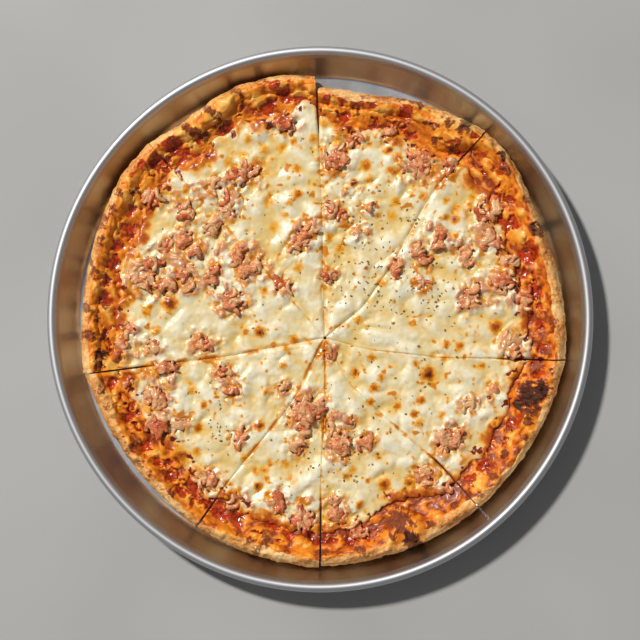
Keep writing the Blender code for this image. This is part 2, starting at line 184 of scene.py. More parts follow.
class SliceShape:
    # across runs from 0 at the first cut to 1 at the second, out from 0 at the tip to 1 at the rim

    bellyHeight = 0.0115  # the crust's widest line
    insideRows = (0.0110, 0.1225)  # the cheese's corners this far from the hub lie along the cuts
    rowStep = 0.004
    hairline = 0.0003
    sameHeight = 1e-5
    firstReach, rounds = 0.16, 9  # the search for the outline starts there and takes as many steps
    spanReach = 0.1

    def __init__(self, number):
        self.cuts = (number, number % len(sliceNumbers) + 1)
        crust = pointsOf(nodes[f"crust_{number}"])
        belly = crust[np.abs(crust[:, 2] - self.bellyHeight) < self.sameHeight]
        middle = math.atan2(belly[:, 1].mean(), belly[:, 0].mean())
        angles = turnedTo(np.arctan2(belly[:, 1], belly[:, 0]), middle)
        self.rimAngles, first = np.unique(np.round(angles, 5), return_index=True)
        self.rimRadii = np.hypot(belly[:, 0], belly[:, 1])[first]
        cheese = pointsOf(nodes[f"cheese_{number}"])
        under = cheese[cheese[:, 2] < cheese[:, 2].min() + self.sameHeight][:, :2] - hub
        reach = np.hypot(under[:, 0], under[:, 1])
        low, high = self.insideRows
        inner = under[(reach > low) & (reach < high)]
        corners = [belly[first[0], :2] - hub, belly[first[-1], :2] - hub]
        self.middle = math.atan2(*(sum(corners)[::-1]))
        turn = turnedTo(np.arctan2(inner[:, 1], inner[:, 0]), self.middle)
        self.sides = []
        for side, corner in zip((-1, 1), corners):
            chosen = self.shadeAndOilByCut(inner, turn, side)
            line = np.vstack((chosen, corner))
            radii = np.hypot(line[:, 0], line[:, 1])
            order = np.argsort(radii)
            radii, keep = np.unique(np.round(radii[order], 4), return_index=True)
            directions = turnedTo(np.arctan2(line[:, 1], line[:, 0]), self.middle)[order][keep]
            self.sides.append((radii, directions, side))

    def shadeAndOilByCut(self, inner, turn, side):
        # of each row's corners, the one nearest to this side's cut
        rows = np.round(np.hypot(inner[:, 0], inner[:, 1]) / self.rowStep)
        chosen = []
        for row in np.unique(rows):
            here = np.where(rows == row)[0]
            chosen.append(inner[here[np.argmax(side * turn[here])]])
        return np.array(chosen)

    def cutDirection(self, which, reach):
        radii, directions, side = self.sides[which]
        direction = smoothCurve(np.clip(reach, radii[0], radii[-1]), radii, directions)
        inside = np.maximum(reach, 0.001)
        return direction - side * self.hairline * np.maximum(0.0, 1 / inside - 1 / radii[0])

    def span(self):
        # the angle between its cuts
        reach = np.array([self.spanReach])
        return abs(self.cutDirection(1, reach) - self.cutDirection(0, reach))[0]

    def rimRadius(self, angle):
        first, last = self.rimAngles[0], self.rimAngles[-1]
        angle = np.clip(turnedTo(angle, 0.5 * (first + last)), first, last)
        return smoothCurve(angle, self.rimAngles, self.rimRadii)

    def inset(self, x, y):
        return self.rimRadius(np.arctan2(y, x)) - np.hypot(x, y)

    def at(self, across, reach, widen=0.0):
        # widen moves both sides out over the cuts
        spread = widen / np.maximum(reach, 0.0015)
        direction = blend(self.cutDirection(0, reach) - spread, self.cutDirection(1, reach) + spread, across)
        return hub[0] + reach * np.cos(direction), hub[1] + reach * np.sin(direction)

    def reachTo(self, across, insetAt):
        # how far from the hub the outline lies, less an inset that depends on the angle
        reach = np.full_like(across, self.firstReach)
        for _ in range(self.rounds):
            x, y = self.at(across, reach)
            angle = np.arctan2(y, x)
            reach += self.rimRadius(angle) - insetAt(angle) - np.hypot(x, y)
        return reach


shapes = {number: SliceShape(number) for number in sliceNumbers}
print("slices read from the solids")


# Shader maths

class Value:
    # a socket of a shader node: maths on it adds Math nodes

    def __init__(self, finish, socket):
        self.finish = finish
        self.socket = socket

    def maths(self, operation, first, second=0.0, clamp=False):
        settings = {"operation": operation, "use_clamp": clamp}
        return self.finish.add("ShaderNodeMath", settings, {0: first, 1: second})

    def __add__(self, other):
        return self.maths("ADD", self, other)

    def __radd__(self, other):
        return self.maths("ADD", other, self)

    def __sub__(self, other):
        return self.maths("SUBTRACT", self, other)

    def __rsub__(self, other):
        return self.maths("SUBTRACT", other, self)

    def __mul__(self, other):
        return self.maths("MULTIPLY", self, other)

    def __rmul__(self, other):
        return self.maths("MULTIPLY", other, self)

    def __truediv__(self, other):
        return self.maths("DIVIDE", self, other)

    def __pow__(self, other):
        return self.maths("POWER", self, other)

    def between(self, low, high):
        # 0 below low, 1 above high, smooth in between
        settings = {"interpolation_type": "SMOOTHSTEP", "clamp": True}
        sockets = {"Value": self, "From Min": low, "From Max": high}
        return self.finish.add("ShaderNodeMapRange", settings, sockets, "Result")

    def limited(self):
        return self.maths("ADD", self, 0.0, clamp=True)


class Finish:
    # one material, built round its Principled shader

    def __init__(self, name, fixed):
        self.material = bpy.data.materials.new(name)
        self.material.use_nodes = True
        self.tree = self.material.node_tree
        self.shader = self.tree.nodes["Principled BSDF"]
        for socket, value in fixed.items():
            self.shader.inputs[socket].default_value = value
        self.place = self.add("ShaderNodeTexCoord", {}, {}, "Object")

    def socketOf(self, sockets, key):
        if isinstance(key, int):
            return sockets[key]
        for socket in sockets:
            if socket.enabled and key in (socket.identifier, socket.name):
                return socket
        raise KeyError(key)

    def feed(self, socket, value):
        if isinstance(value, Value):
            self.tree.links.new(value.socket, socket)
        else:
            socket.default_value = value

    def add(self, kind, settings, sockets, output=0):
        node = self.tree.nodes.new(kind)
        for name, value in settings.items():
            if name == "stops":
                self.setStops(node.color_ramp, value)
            else:
                setattr(node, name, value)
        for key, value in sockets.items():
            self.feed(self.socketOf(node.inputs, key), value)
        return Value(self, self.socketOf(node.outputs, output))

    def setStops(self, ramp, stops):
        while len(ramp.elements) < len(stops):
            ramp.elements.new(1.0)
        for element, (position, colour) in zip(ramp.elements, stops):
            element.position = position
            element.color = (*colour, 1.0)

    def noise(self, size, detail=2.0, rough=0.5, place=None):
        sockets = {"Vector": place or self.place, "Scale": 1 / size, "Detail": detail, "Roughness": rough}
        return self.add("ShaderNodeTexNoise", {"noise_dimensions": "3D"}, sockets, "Fac")

    def mask(self, name):
        return self.add("ShaderNodeAttribute", {"attribute_name": name}, {}, "Fac")

    def mixed(self, share, first, second):
        first, second = (c if isinstance(c, Value) else (*c, 1.0) for c in (first, second))
        settings = {"data_type": "RGBA", "clamp_factor": True}
        sockets = {"Factor_Float": share, "A_Color": first, "B_Color": second}
        return self.add("ShaderNodeMix", settings, sockets, "Result_Color")

    def glazed(self, base, coats):
        # coats (mask, from, to, how much at most, colour), laid over the base one after the other
        for mask, low, high, most, colour in coats:
            share = mask.between(low, high)
            base = self.mixed(share * most if most < 1 else share, base, colour)
        return base

    def ramp(self, value, stops):
        return self.add("ShaderNodeValToRGB", {"stops": stops}, {"Fac": value}, "Color")

    def bump(self, height, distance, strength):
        sockets = {"Height": height, "Distance": distance, "Strength": strength}
        return self.add("ShaderNodeBump", {}, sockets, "Normal")

    def set(self, socket, value):
        self.feed(self.shader.inputs[socket], value)


# Building pieces

welded = 1e-6


def makePiece(name, bm, finish, replaced=(), sharp=80.0):
    mesh = bpy.data.meshes.new(name)
    bm.to_mesh(mesh)
    bm.free()
    mesh.shade_smooth()
    mesh.set_sharp_from_angle(angle=math.radians(sharp))
    mesh.materials.append(finish.material)
    piece = bpy.data.objects.new(name, mesh)
    bpy.context.scene.collection.objects.link(piece)
    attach(piece, "root")
    if replaced:
        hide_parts(*replaced)
    return piece


def setMask(piece, name, values):
    layer = piece.data.attributes.new(name, "FLOAT", "POINT")
    layer.data.foreach_set("value", np.clip(values, 0.0, 1.0).astype(np.float32))


def moveTo(verts, x, y, z):
    for vert, place in zip(verts, zip(x, y, z)):
        vert.co = place


def layerMesh(columns, rows, placeAt, bottom, feet=()):
    # a closed layer: the top is a grid, and its sides drop to one height, or in to the feet
    above = 1e-5
    bm = bmesh.new()
    bmesh.ops.create_grid(bm, x_segments=columns, y_segments=rows, size=0.5)
    grid = np.array([vert.co[:2] for vert in bm.verts])
    moveTo(bm.verts, *placeAt(0.5 - grid[:, 0], grid[:, 1] + 0.5))
    rim = [edge for edge in bm.edges if edge.is_boundary]
    rim = [edge for edge in rim if max(vert.co.z for vert in edge.verts) > bottom + above]
    made = bmesh.ops.extrude_edge_only(bm, edges=rim)["geom"]
    for vert in made:
        if isinstance(vert, bmesh.types.BMVert):
            nearest = min(feet, key=lambda foot: (foot - vert.co.xy).length, default=None)
            if nearest and vert.co.xy.length > nearest.length - 1e-7:
                vert.co.xy = nearest
            vert.co.z = bottom
    low = [vert for vert in bm.verts if vert.co.z < bottom + above]
    bmesh.ops.remove_doubles(bm, verts=low, dist=welded)
    bmesh.ops.edgeloop_fill(bm, edges=[edge for edge in bm.edges if edge.is_boundary])
    bmesh.ops.recalc_face_normals(bm, faces=bm.faces)
    return bm


def tone(red, green, blue):
    # a colour as a screen shows it, 0 to 255, turned into light
    light = []
    for part in (red, green, blue):
        light.append(((part / 255 + 0.055) / 1.055) ** 2.4 if part > 10 else part / 3295)
    return tuple(light)


# Pan

panSize = {
    "radius": 0.2032,
    "height": 0.0260,
    "sheet": 0.0015,
    "floorRadius": 0.1840,
    "corner": 0.0028,  # how far from its middle the inner corner starts to round off
    "heel": 0.0022,  # the same under the pan
    "bead": 0.0034,
    "beadTurn": (-135, 315, 36),  # degrees it starts at, degrees it runs through, steps
    "rings": (0.08, 0.15),  # radii where the floor's faces meet
    "underRing": 0.09,
    "steps": 288,
}
panLook = {
    "dull": tone(204, 204, 206),
    "bright": tone(222, 223, 226),
    "rim": tone(200, 200, 202),
    "roughness": (0.26, 0.44),
    "brushing": 0.00035,
    "scratches": 0.55,
    "scratchScale": (2600.0, 30.0, 400.0),
    "rimFrom": (0.0195, 0.0205),  # the height at which the wall's finish turns into the rim's
}


def bendPoints(corner, before, after, reach, steps):
    # a rounded corner between two straight lines
    start = corner + reach * (before - corner).normalized()
    end = corner + reach * (after - corner).normalized()
    return [start.lerp(corner, t).lerp(corner.lerp(end, t), t) for t in (s / steps for s in range(steps + 1))]


def panProfile():
    size = panSize
    bead = Vector((size["radius"] - size["bead"], size["height"] - size["bead"]))
    start, turn, steps = size["beadTurn"]
    rolled = []
    for step in range(steps + 1):
        angle = math.radians(start + turn * step / steps)
        rolled.append(bead + size["bead"] * Vector((math.cos(angle), math.sin(angle))))
    innerCorner = Vector((size["floorRadius"], size["sheet"]))
    wall = (rolled[-1] - innerCorner).normalized()
    heel = innerCorner + size["sheet"] * Vector((wall.y, -wall.x))
    heel = heel - wall * (heel.y / wall.y)
    middleBelow, middleAbove = Vector((0.0, 0.0)), Vector((0.0, size["sheet"]))
    points = [middleBelow, Vector((size["underRing"], 0.0))]
    points += bendPoints(heel, middleBelow, rolled[0], size["heel"], 8)
    points += rolled
    points += bendPoints(innerCorner, rolled[-1], middleAbove, size["corner"], 10)
    inner, outer = size["rings"]
    return points + [Vector((outer, size["sheet"])), Vector((inner, size["sheet"])), middleAbove]


def panFinish():
    finish = Finish("panMetal", {"Metallic": 1.0, "Anisotropic": 0.35})
    parts = finish.add("ShaderNodeSeparateXYZ", {}, {"Vector": finish.place}, "X")
    x, y, z = (Value(finish, parts.socket.node.outputs[axis]) for axis in "XYZ")
    radius = (x * x + y * y) ** 0.5
    around = finish.add("ShaderNodeCombineXYZ", {}, {
        "X": (radius + z) / panLook["brushing"], "Y": x / radius * 4.0, "Z": y / radius * 4.0,
    })
    brushed = finish.noise(1.0, detail=2.0, rough=0.65, place=around)
    clouds = finish.noise(0.045, detail=3.0, rough=0.6)
    smudges = finish.noise(0.012, detail=4.0, rough=0.7)
    lines = finish.add("ShaderNodeMapping", {"vector_type": "POINT"}, {
        "Vector": finish.place, "Rotation": (0.0, 0.0, 0.6), "Scale": panLook["scratchScale"],
    })
    scratch = finish.noise(1.0, detail=0.0, place=lines).between(0.74, 0.80) * panLook["scratches"]
    wear = (0.45 * brushed + 0.35 * clouds + 0.20 * smudges).between(0.30, 0.70)
    inside = finish.mixed(wear, panLook["dull"], panLook["bright"])
    rolled = z.between(*panLook["rimFrom"])
    finish.set("Base Color", finish.mixed(rolled, inside, panLook["rim"]))
    low, high = panLook["roughness"]
    uneven = 0.5 * brushed + 0.5 * smudges
    finish.set("Roughness", low + (high - low) * uneven + 0.08 * scratch + 0.24 * rolled)
    finish.set("Normal", finish.bump(brushed + 0.4 * scratch, 0.00006, 0.35))
    return finish


def makePan():
    bm = bmesh.new()
    line = [bm.verts.new((point.x, 0.0, point.y)) for point in panProfile()]
    edges = [bm.edges.new(pair) for pair in zip(line, line[1:])]
    bmesh.ops.spin(bm, geom=line + edges, cent=(0, 0, 0), axis=(0, 0, 1), angle=math.tau,
                   steps=panSize["steps"], use_merge=True)
    bmesh.ops.remove_doubles(bm, verts=bm.verts, dist=welded)
    bmesh.ops.recalc_face_normals(bm, faces=bm.faces)
    makePiece("pan_spun", bm, panFinish(), ["pan"], sharp=45.0)


# Ham: its heaps are read from the solids, the smaller pieces are listed

hamCrumbs = (
    # pixelX, pixelY, length, width, turn, how much cheese covers it
    (495, 208, 18, 11, 75, 0.35), (450, 167, 15, 10, 80, 0.30), (339, 151, 13, 10, 20, 0.55),
    (330, 277, 12, 11, 0, 0.35), (343, 217, 9, 7, 40, 0.05), (369, 208, 7, 5, 20, 0.20),
    (390, 131, 12, 8, 10, 0.10), (238, 256, 24, 10, 80, 0.35), (212, 228, 16, 12, 30, 0.80),
    (215, 185, 15, 12, 60, 0.80), (165, 247, 13, 10, 10, 0.45), (195, 252, 13, 9, -20, 0.45),
    (153, 265, 18, 10, 15, 0.45), (135, 273, 17, 11, 80, 0.50), (165, 285, 17, 12, 10, 0.10),
    (191, 284, 15, 10, 50, 0.45), (152, 346, 12, 10, 0, 0.45), (129, 332, 12, 8, 60, 0.45),
    (165, 369, 22, 12, 10, 0.50), (223, 372, 15, 8, 0, 0.45), (231, 391, 11, 9, 30, 0.55),
    (178, 424, 15, 11, 30, 0.50), (240, 436, 13, 9, 60, 0.50), (206, 480, 25, 17, -30, 0.75),
    (282, 388, 15, 6, 10, 0.40), (127, 383, 11, 7, 0, 0.40), (297, 447, 14, 11, 80, 0.40),
    (305, 434, 12, 9, 60, 0.35), (277, 503, 19, 11, 80, 0.55), (234, 503, 18, 11, 75, 0.55),
    (426, 476, 21, 18, 60, 0.50), (445, 490, 13, 8, -20, 0.35), (333, 422, 17, 9, 80, 0.30),
    (348, 425, 12, 8, 30, 0.65), (366, 443, 14, 11, 20, 0.10), (470, 405, 14, 13, 0, 0.65),
    (493, 392, 12, 8, 60, 0.45), (330, 354, 11, 9, 60, 0.35), (397, 268, 18, 7, 75, 0.30),
    (422, 284, 9, 7, 20, 0.50), (508, 262, 16, 14, 30, 0.60), (498, 244, 10, 7, 40, 0.30),
    (516, 340, 19, 12, 0, 0.60), (512, 355, 11, 7, 20, 0.45),
)


heapCover = 0.35  # how much cheese covers the big heaps


def heapOf(name):
    flat = pointsOf(nodes[name])[:, :2]
    centre = flat.mean(axis=0)
    axes = np.linalg.eigh(np.cov((flat - centre).T))[1]
    half = np.abs((flat - centre) @ axes).max(axis=0)
    return {"name": name, "x": centre[0], "y": centre[1], "turn": math.atan2(axes[1, 1], axes[0, 1]),
            "length": 2 * half[1], "width": 2 * half[0], "cover": heapCover}


def crumbOf(pixelX, pixelY, length, width, turn, cover):
    x, y = placeOf(pixelX, pixelY)
    return {"name": None, "x": x, "y": y, "turn": math.radians(turn),
            "length": length * photo["pixel"], "width": width * photo["pixel"], "cover": cover}


heaps = [heapOf(name) for name in sorted(nodes) if name.startswith("ham_")]
crumbs = [crumbOf(*crumb) for crumb in hamCrumbs]


def nearOvals(x, y, ovals, grow, inner, outer):
    # 1 inside the ovals and 0 away from them
    total = np.zeros_like(x)
    for oval in ovals:
        reach = (0.5 * oval["length"] + grow) * outer
        near = (np.abs(x - oval["x"]) < reach) & (np.abs(y - oval["y"]) < reach)
        if near.any():
            dx, dy = x[near] - oval["x"], y[near] - oval["y"]
            c, s = math.cos(oval["turn"]), math.sin(oval["turn"])
            lengthwise = (dx * c + dy * s) / (0.5 * oval["length"] + grow)
            sideways = (dy * c - dx * s) / (0.5 * oval["width"] + grow)
            share = 1.0 - smoothStep(inner, outer, np.hypot(lengthwise, sideways))
            total[near] = np.maximum(total[near], share)
    return total


# Cheese

cheeseSize = {
    "top": 0.0139,
    "underside": 0.0113,
    "puffs": 0.0044,  # broad melted lumps
    "lumps": 0.0032,
    "nubs": 0.00022,
    "hamRise": 0.0008,
    "hamLumps": 0.0022,
    "inset": 0.0240,  # from the crust's outline to the cheese's edge
    "ragged": 0.0042,
    "edgeRadius": 0.0028,
    "blisterRise": 0.0004,
    "pitDepth": 0.0013,
    "tip": 0.0012,  # how near the hub the slices start
    "length": 0.160,
    "farEdge": 0.165,
    "opening": 0.012,  # half the stretch over which a shut cut opens
    "bulge": (0.00034, 0.0010),  # how far slices reach over a shut cut: at the tip, and more at the rim
    "openCut": (0.0018, 0.0017),  # width and drop of the rounded edge beside an open cut
    "edgeHoles": 0.0006,
    "thinnest": 0.0005,
    "rowSpacing": 0.0007,
    "columnSpacing": 0.0010,  # at the rim
}
cutStyles = {
    # cut: how far from the hub it opens, its valley's width and depth inside that, how brown it is: oil and
    # painted shade in the valley
    1: (0.130, 0.0020, 0.0008, 0.50),
    2: (0.160, 0.0044, 0.0014, 0.45),
    3: (0.150, 0.0044, 0.0017, 0.50),
    4: (0.176, 0.0014, 0.0006, 0.60),
    5: (0.132, 0.0038, 0.0013, 0.75),
    6: (0.148, 0.0032, 0.0010, 0.75),
    7: (0.120, 0.0018, 0.0006, 0.65),
    8: (0.120, 0.0013, 0.0006, 0.60),
}
cheeseBays = (
    # degrees round the pizza, half width in degrees, how far the edge draws back
    (18, 7, 0.0065), (8, 4, 0.0045), (32, 4, 0.0050), (42, 5, 0.0070), (50, 3, 0.0060), (67, 3, 0.0050),
    (81, 8, 0.0020), (93, 3.5, -0.0070), (102, 5, 0.0080), (115, 2, 0.0050), (124, 4, 0.0020),
    (130, 3.5, 0.0070), (137, 3, 0.0055), (148, 5, 0.0030), (160, 9, 0.0035), (172, 5, 0.0025),
    (197, 2, 0.0050), (207, 2, 0.0035), (221, 7, 0.0040), (232, 3, 0.0050), (245, 5, 0.0065),
    (257, 3, 0.0040), (265, 4, 0.0035), (277, 6, 0.0040), (315, 5, 0.0050), (328, 4, 0.0020),
    (346, 2, 0.0040), (357, 5, 0.0025), (57, 6, 0.0110), (292, 7, 0.0140), (340, 6, 0.0105),
)
meatyPlaces = [crumbOf(*place, 1.0) for place in (
    # pixelX, pixelY, length, width, turn: lumps with ham under the cheese
    (158, 270, 90, 62, 25), (212, 238, 74, 40, 75), (188, 196, 56, 30, 30), (250, 262, 62, 40, -30),
    (303, 232, 50, 26, 80), (241, 183, 60, 26, 15), (230, 300, 44, 34, 40), (140, 345, 46, 28, 10),
    (207, 342, 40, 24, 0), (160, 385, 52, 34, -60), (160, 420, 44, 30, 10), (228, 378, 40, 26, -20),
    (207, 480, 40, 26, -40), (242, 436, 26, 18, 50), (300, 415, 46, 34, 70), (340, 432, 56, 34, -60),
    (288, 505, 60, 26, -5), (240, 500, 36, 26, -40), (342, 520, 40, 34, 60), (432, 476, 48, 30, -20),
    (452, 440, 44, 36, 40), (470, 405, 28, 24, 0), (330, 352, 22, 16, 60), (503, 285, 56, 44, 40),
    (508, 258, 30, 24, 30), (486, 215, 48, 26, 70), (450, 240, 64, 26, -25), (470, 292, 34, 24, 80),
    (397, 266, 26, 12, 75), (512, 345, 36, 28, 10), (425, 165, 56, 30, 30), (335, 150, 36, 30, 60),
    (332, 213, 36, 24, 0), (351, 190, 34, 22, 40), (331, 278, 22, 18, 0), (362, 235, 30, 16, 20),
)]
blisters = (
    # pixelX, pixelY, radius in pixels, how brown
    (169.6, 303.5, 7, 0.95), (428.5, 374.7, 7, 1.0), (496.8, 326.7, 6.5, 0.85), (455, 218, 4.5, 0.9),
    (446, 216, 3.5, 0.6), (385, 485, 6, 0.85), (302.4, 501.2, 5, 0.7), (178.9, 455.5, 7, 0.75),
    (184, 455, 5, 0.7), (259.4, 332.5, 5, 0.9), (258.9, 426, 5, 0.9), (257.6, 486.9, 4.5, 0.85),
    (353.6, 182.5, 3.8, 1.0), (388.4, 149.3, 4, 0.85), (398, 157, 4.5, 0.7), (390, 170, 4, 0.6),
    (396, 171, 4, 0.6), (366, 165, 5, 0.7), (297, 193.3, 4.5, 0.75), (289, 203, 3.5, 0.4),
    (285, 215, 3.0, 0.4), (484, 174, 4, 0.95), (461, 345.5, 4.5, 0.7), (446, 344.5, 4, 0.7),
    (374.2, 388.4, 4.5, 0.8), (355.3, 373, 3.6, 0.8), (421.5, 400.7, 4.4, 0.75), (414.4, 414.8, 3.6, 0.8),
    (197.8, 429, 4.4, 0.75), (203.4, 405.5, 3.6, 0.7), (409, 483.5, 4, 0.8), (359.6, 505.3, 4.4, 0.75),
    (370.6, 402.7, 4, 0.6), (294, 340, 4.5, 0.6), (285, 347, 3.5, 0.4),
)
paleBlisters = (
    (270.6, 195), (268.6, 200.4), (273.7, 227), (392, 215.7), (396, 202), (377.8, 215.7), (330, 237),
    (340, 249), (298, 268), (263.5, 291), (358.4, 320), (381.8, 283), (457, 208), (473.5, 196.5),
    (469, 203.5), (456, 235.6), (496, 341), (446, 200), (283, 365), (265.5, 392.4), (371.6, 357.8),
    (381.8, 377.7), (379.8, 415), (398, 406.7), (243, 458), (285, 465), (270, 464), (255, 472),
    (352, 470.5), (416, 364.4), (420, 423.5), (397, 406), (442, 415), (445, 358), (482, 366),
    (496, 423.5), (150, 307), (145, 314), (138, 255.5), (185, 191), (216.5, 266), (155, 330),
    (167.6, 189), (129, 299), (282, 147.5), (264, 148.4), (293.4, 140.4), (228, 162), (248, 138.6),
    (243, 154.6), (297, 168), (313, 138), (375, 135), (369, 144), (408, 138), (412.5, 195), (424, 195),
    (338, 140), (324, 122), (370, 179), (192, 391), (216.6, 397), (196, 452), (156, 370), (172, 366),
    (202, 339), (267, 480), (264, 471), (268, 495), (291, 480), (414, 468), (369, 481), (347, 477),
    (378, 457),
)
cheeseLook = {
    "cream": tone(233, 214, 166),
    # whiter cheese for the lump tops: painted highlight
    "milkHighlight": tone(241, 231, 200),
    # yellower cheese for the hollows: partly oil, partly painted shade
    "butterAndShade": tone(231, 198, 126),
    "oil": tone(238, 168, 34),
    "amber": tone(200, 106, 5),
    "gold": tone(246, 170, 58),
    "rust": tone(176, 70, 14),
    "brown": tone(128, 50, 10),
    "burnt": tone(66, 26, 10),
    "pink": tone(210, 128, 76),
    "pit": tone(122, 32, 7),
    "roughness": 0.38,
}


def cheeseEdge(angle):
    # how far inside the crust's outline the cheese ends
    x, y = onCircle(angle, cheeseSize["length"])
    ragged = cheeseSize["ragged"] * layeredNoise(x, y, 0.11, 0.015, 3, 0.6)
    return cheeseSize["inset"] + ragged + swellsAt(angle, cheeseBays)


def billows(x, y, level, size, soft):
    # about 0 on average
    return creased(noiseAt(x, y, level, size), soft * soft, 0.22 + 0.5 * soft)


def cheeseRelief(x, y):
    warp = 0.004 * noiseAt(x, y, 0.33, 0.016)
    broad = 0.4 * noiseAt(x, y, 0.15, 0.026) + 0.8 * billows(x + warp, y - warp, 0.3, 0.0165, 0.12)
    return broad, billows(x - warp, y, 0.7, 0.0088, 0.10)


def lumpyAt(x, y):
    # how full of ham the cheese is, 0 to 1
    near = nearOvals(x, y, heaps + crumbs, 0.0040, 0.40, 1.8)
    warped = swayed(x, y, 0.0050, 0.012, (0.35, 0.75), 2)
    return np.maximum(near, 0.95 * nearOvals(*warped, meatyPlaces, 0.0, 0.65, 1.15))


def cheeseTop(x, y):
    size = cheeseSize
    broad, small = cheeseRelief(x, y)
    lumpy = lumpyAt(x, y)
    height = size["top"] + size["puffs"] * broad + size["lumps"] * (0.12 + 0.88 * lumpy) * small
    height += size["nubs"] * noiseAt(x, y, 0.9, 0.0033)
    height += lumpy * (size["hamRise"] + size["hamLumps"] * layeredNoise(x, y, 0.5, 0.0062, 2, 0.5))
    return height + size["blisterRise"] * dabs(x, y, blisters, 0.0) - size["pitDepth"] * pitsAt(x, y)


def pitsAt(x, y):
    # dark little holes beside the ham, where sauce shows
    near = nearOvals(x, y, heaps + crumbs, 0.0020, 0.6, 1.35)
    distance, number = cellsAt(*swayed(x, y, 0.0012, 0.0026, (0.2, 0.8), 1), 0.0050, 5)
    hole = 1.0 - smoothStep(0.15, 0.46, distance / (0.4 + 0.7 * number))
    return near * hole * (number > 0.50)


def edgeHolesAt(x, y, toEdge):
    # holes where the cheese thins out towards the crust
    holes = smoothStep(0.30, 0.62, layeredNoise(x, y, 0.62, 0.0085, 3, 0.6))
    return holes * smoothStep(0.0150, 0.0060, toEdge)


def makeCheese(number, finish):
    shape, size = shapes[number], cheeseSize
    columns = round(shape.span() * size["farEdge"] / size["columnSpacing"])
    rows = round(size["length"] / size["rowSpacing"])
    styles = [cutStyles[cut] for cut in shape.cuts]
    (bulge, more), (openWidth, openDrop) = size["bulge"], size["openCut"]

    def placeAt(across, along):
        edge = shape.reachTo(across, cheeseEdge)
        reach = blend(size["tip"], edge, along)
        opens, valley, depth, _ = (np.where(across < 0.5, *pair) for pair in zip(*styles))
        opened = smoothStep(opens - size["opening"], opens + size["opening"], reach)
        over = bulge + more * (reach / crustSize["sideRadius"]) ** 2
        x, y = shape.at(across, reach, (1.0 - opened) * over)
        turn = shape.cutDirection(1, reach) - shape.cutDirection(0, reach)
        toCut = reach * turn * np.minimum(across, 1.0 - across)
        toEdge = edge - reach + 0.0006 * noiseAt(x, y, 0.4, 0.004)
        height = cheeseTop(x, y) - size["edgeHoles"] * edgeHolesAt(x, y, toEdge)
        width = blend(valley, openWidth, opened) * (0.85 + 0.5 * noiseAt(x, y, 0.1, 0.02))
        width = np.minimum(width, 0.45 * reach + 0.0002)
        crease = depth * np.clip(1.0 - toCut / width, 0.0, 1.0) ** 2
        height -= blend(crease, openDrop * roundedDrop(toCut, width), opened)
        low = size["underside"] + size["thinnest"]
        swollen = np.maximum(height + 0.0003 * smoothStep(0.009, 0.004, toEdge), low + 0.0003)
        return x, y, low + (swollen - low) * (1.0 - roundedDrop(toEdge, size["edgeRadius"]))

    bm = layerMesh(columns, rows, placeAt, size["underside"])
    piece = makePiece(f"cheese_melted_{number}", bm, finish, [f"cheese_{number}"])
    x, y = pointsOf(piece).T[:2]
    toEdge = shape.inset(x, y) - cheeseEdge(np.arctan2(y, x))
    broad, small = cheeseRelief(x, y)
    # relief height: the finish paints the lump tops whiter as highlight and the hollows yellower, partly as
    # shade and partly as oil
    setMask(piece, "high", 0.5 + 1.5 * broad + 0.6 * small)
    setMask(piece, "brown", brownAt(x, y))
    # oil, and along the cuts painted shade as well
    setMask(piece, "amber", amberAt(x, y, shape, styles, small))
    setMask(piece, "toast", toastAt(x, y, toEdge))
    setMask(piece, "pink", pinkAt(x, y))
    setMask(piece, "pit", np.maximum(pitsAt(x, y), edgeHolesAt(x, y, toEdge)))


def roundedDrop(distance, width):
    # 1 at an edge, 0 past the width, along a quarter circle
    share = np.clip(1.0 - distance / width, 0.0, 1.0)
    return 1.0 - np.sqrt(np.maximum(0.0, 1.0 - share * share))


def brownAt(x, y):
    # a cone over each blister, which the finish turns into rings
    spots = [(pixelX, pixelY, 1.25 * radius, strong) for pixelX, pixelY, radius, strong in blisters]
    for pixelX, pixelY in paleBlisters:
        share = (0.731 * pixelX + 0.377 * pixelY) % 1.0
        spots.append((pixelX, pixelY, 3.2 + 3.6 * share, 0.66 - 0.30 * share))
    warped = swayed(x, y, 0.0015, 0.0048, (0.6, 0.1))
    distance, number = cellsAt(*warped, 0.0076, 9)
    small = (1.0 - smoothStep(0.0, 0.26, distance)) * smoothStep(0.50, 0.95, number) * 0.56
    return np.maximum(dabs(*warped, spots, 0.0), small)


def amberAt(x, y, shape, styles, small):
    # oil that has gathered in places and beside the ham; along the cuts, oil and painted shade in their
    # valleys
    upper = smoothStep(0.03, 0.11, y)
    region = smoothStep(0.00, 0.50, layeredNoise(x, y, 0.52, 0.030, 2, 0.6) + 0.25 * upper)
    near = nearOvals(x, y, heaps + crumbs, 0.0060, 0.4, 1.7)
    patches = 0.95 * smoothStep(0.16, 0.80, layeredNoise(x, y, 0.77, 0.0074, 2, 0.5))
    creases = smoothStep(-0.04, -0.14, small)
    reach = np.hypot(x - hub[0], y - hub[1])
    direction = turnedTo(np.arctan2(y - hub[1], x - hub[0]), shape.middle)
    shadeAndOilByCut = np.zeros_like(x)
    for which, (_, valley, _, cutShadeAndOil) in enumerate(styles):
        toCut = np.abs(direction - shape.cutDirection(which, reach)) * reach
        soft = valley * (1.0 + 0.8 * noiseAt(x, y, 0.1, 0.007))
        # oil and painted shade along the cut's valley
        here = cutShadeAndOil * smoothStep(1.0, 0.15, toCut / np.maximum(soft, 0.0005))
        shadeAndOilByCut = np.maximum(shadeAndOilByCut, here * smoothStep(-0.35, 0.25, noiseAt(x, y, 0.6, 0.014)))
    gathered = patches * (0.35 + 0.65 * region + 0.15 * upper)
    seeped = creases * (0.10 + 0.25 * region + 0.60 * near)
    return np.clip(gathered + seeped + shadeAndOilByCut, 0.0, 1.0)


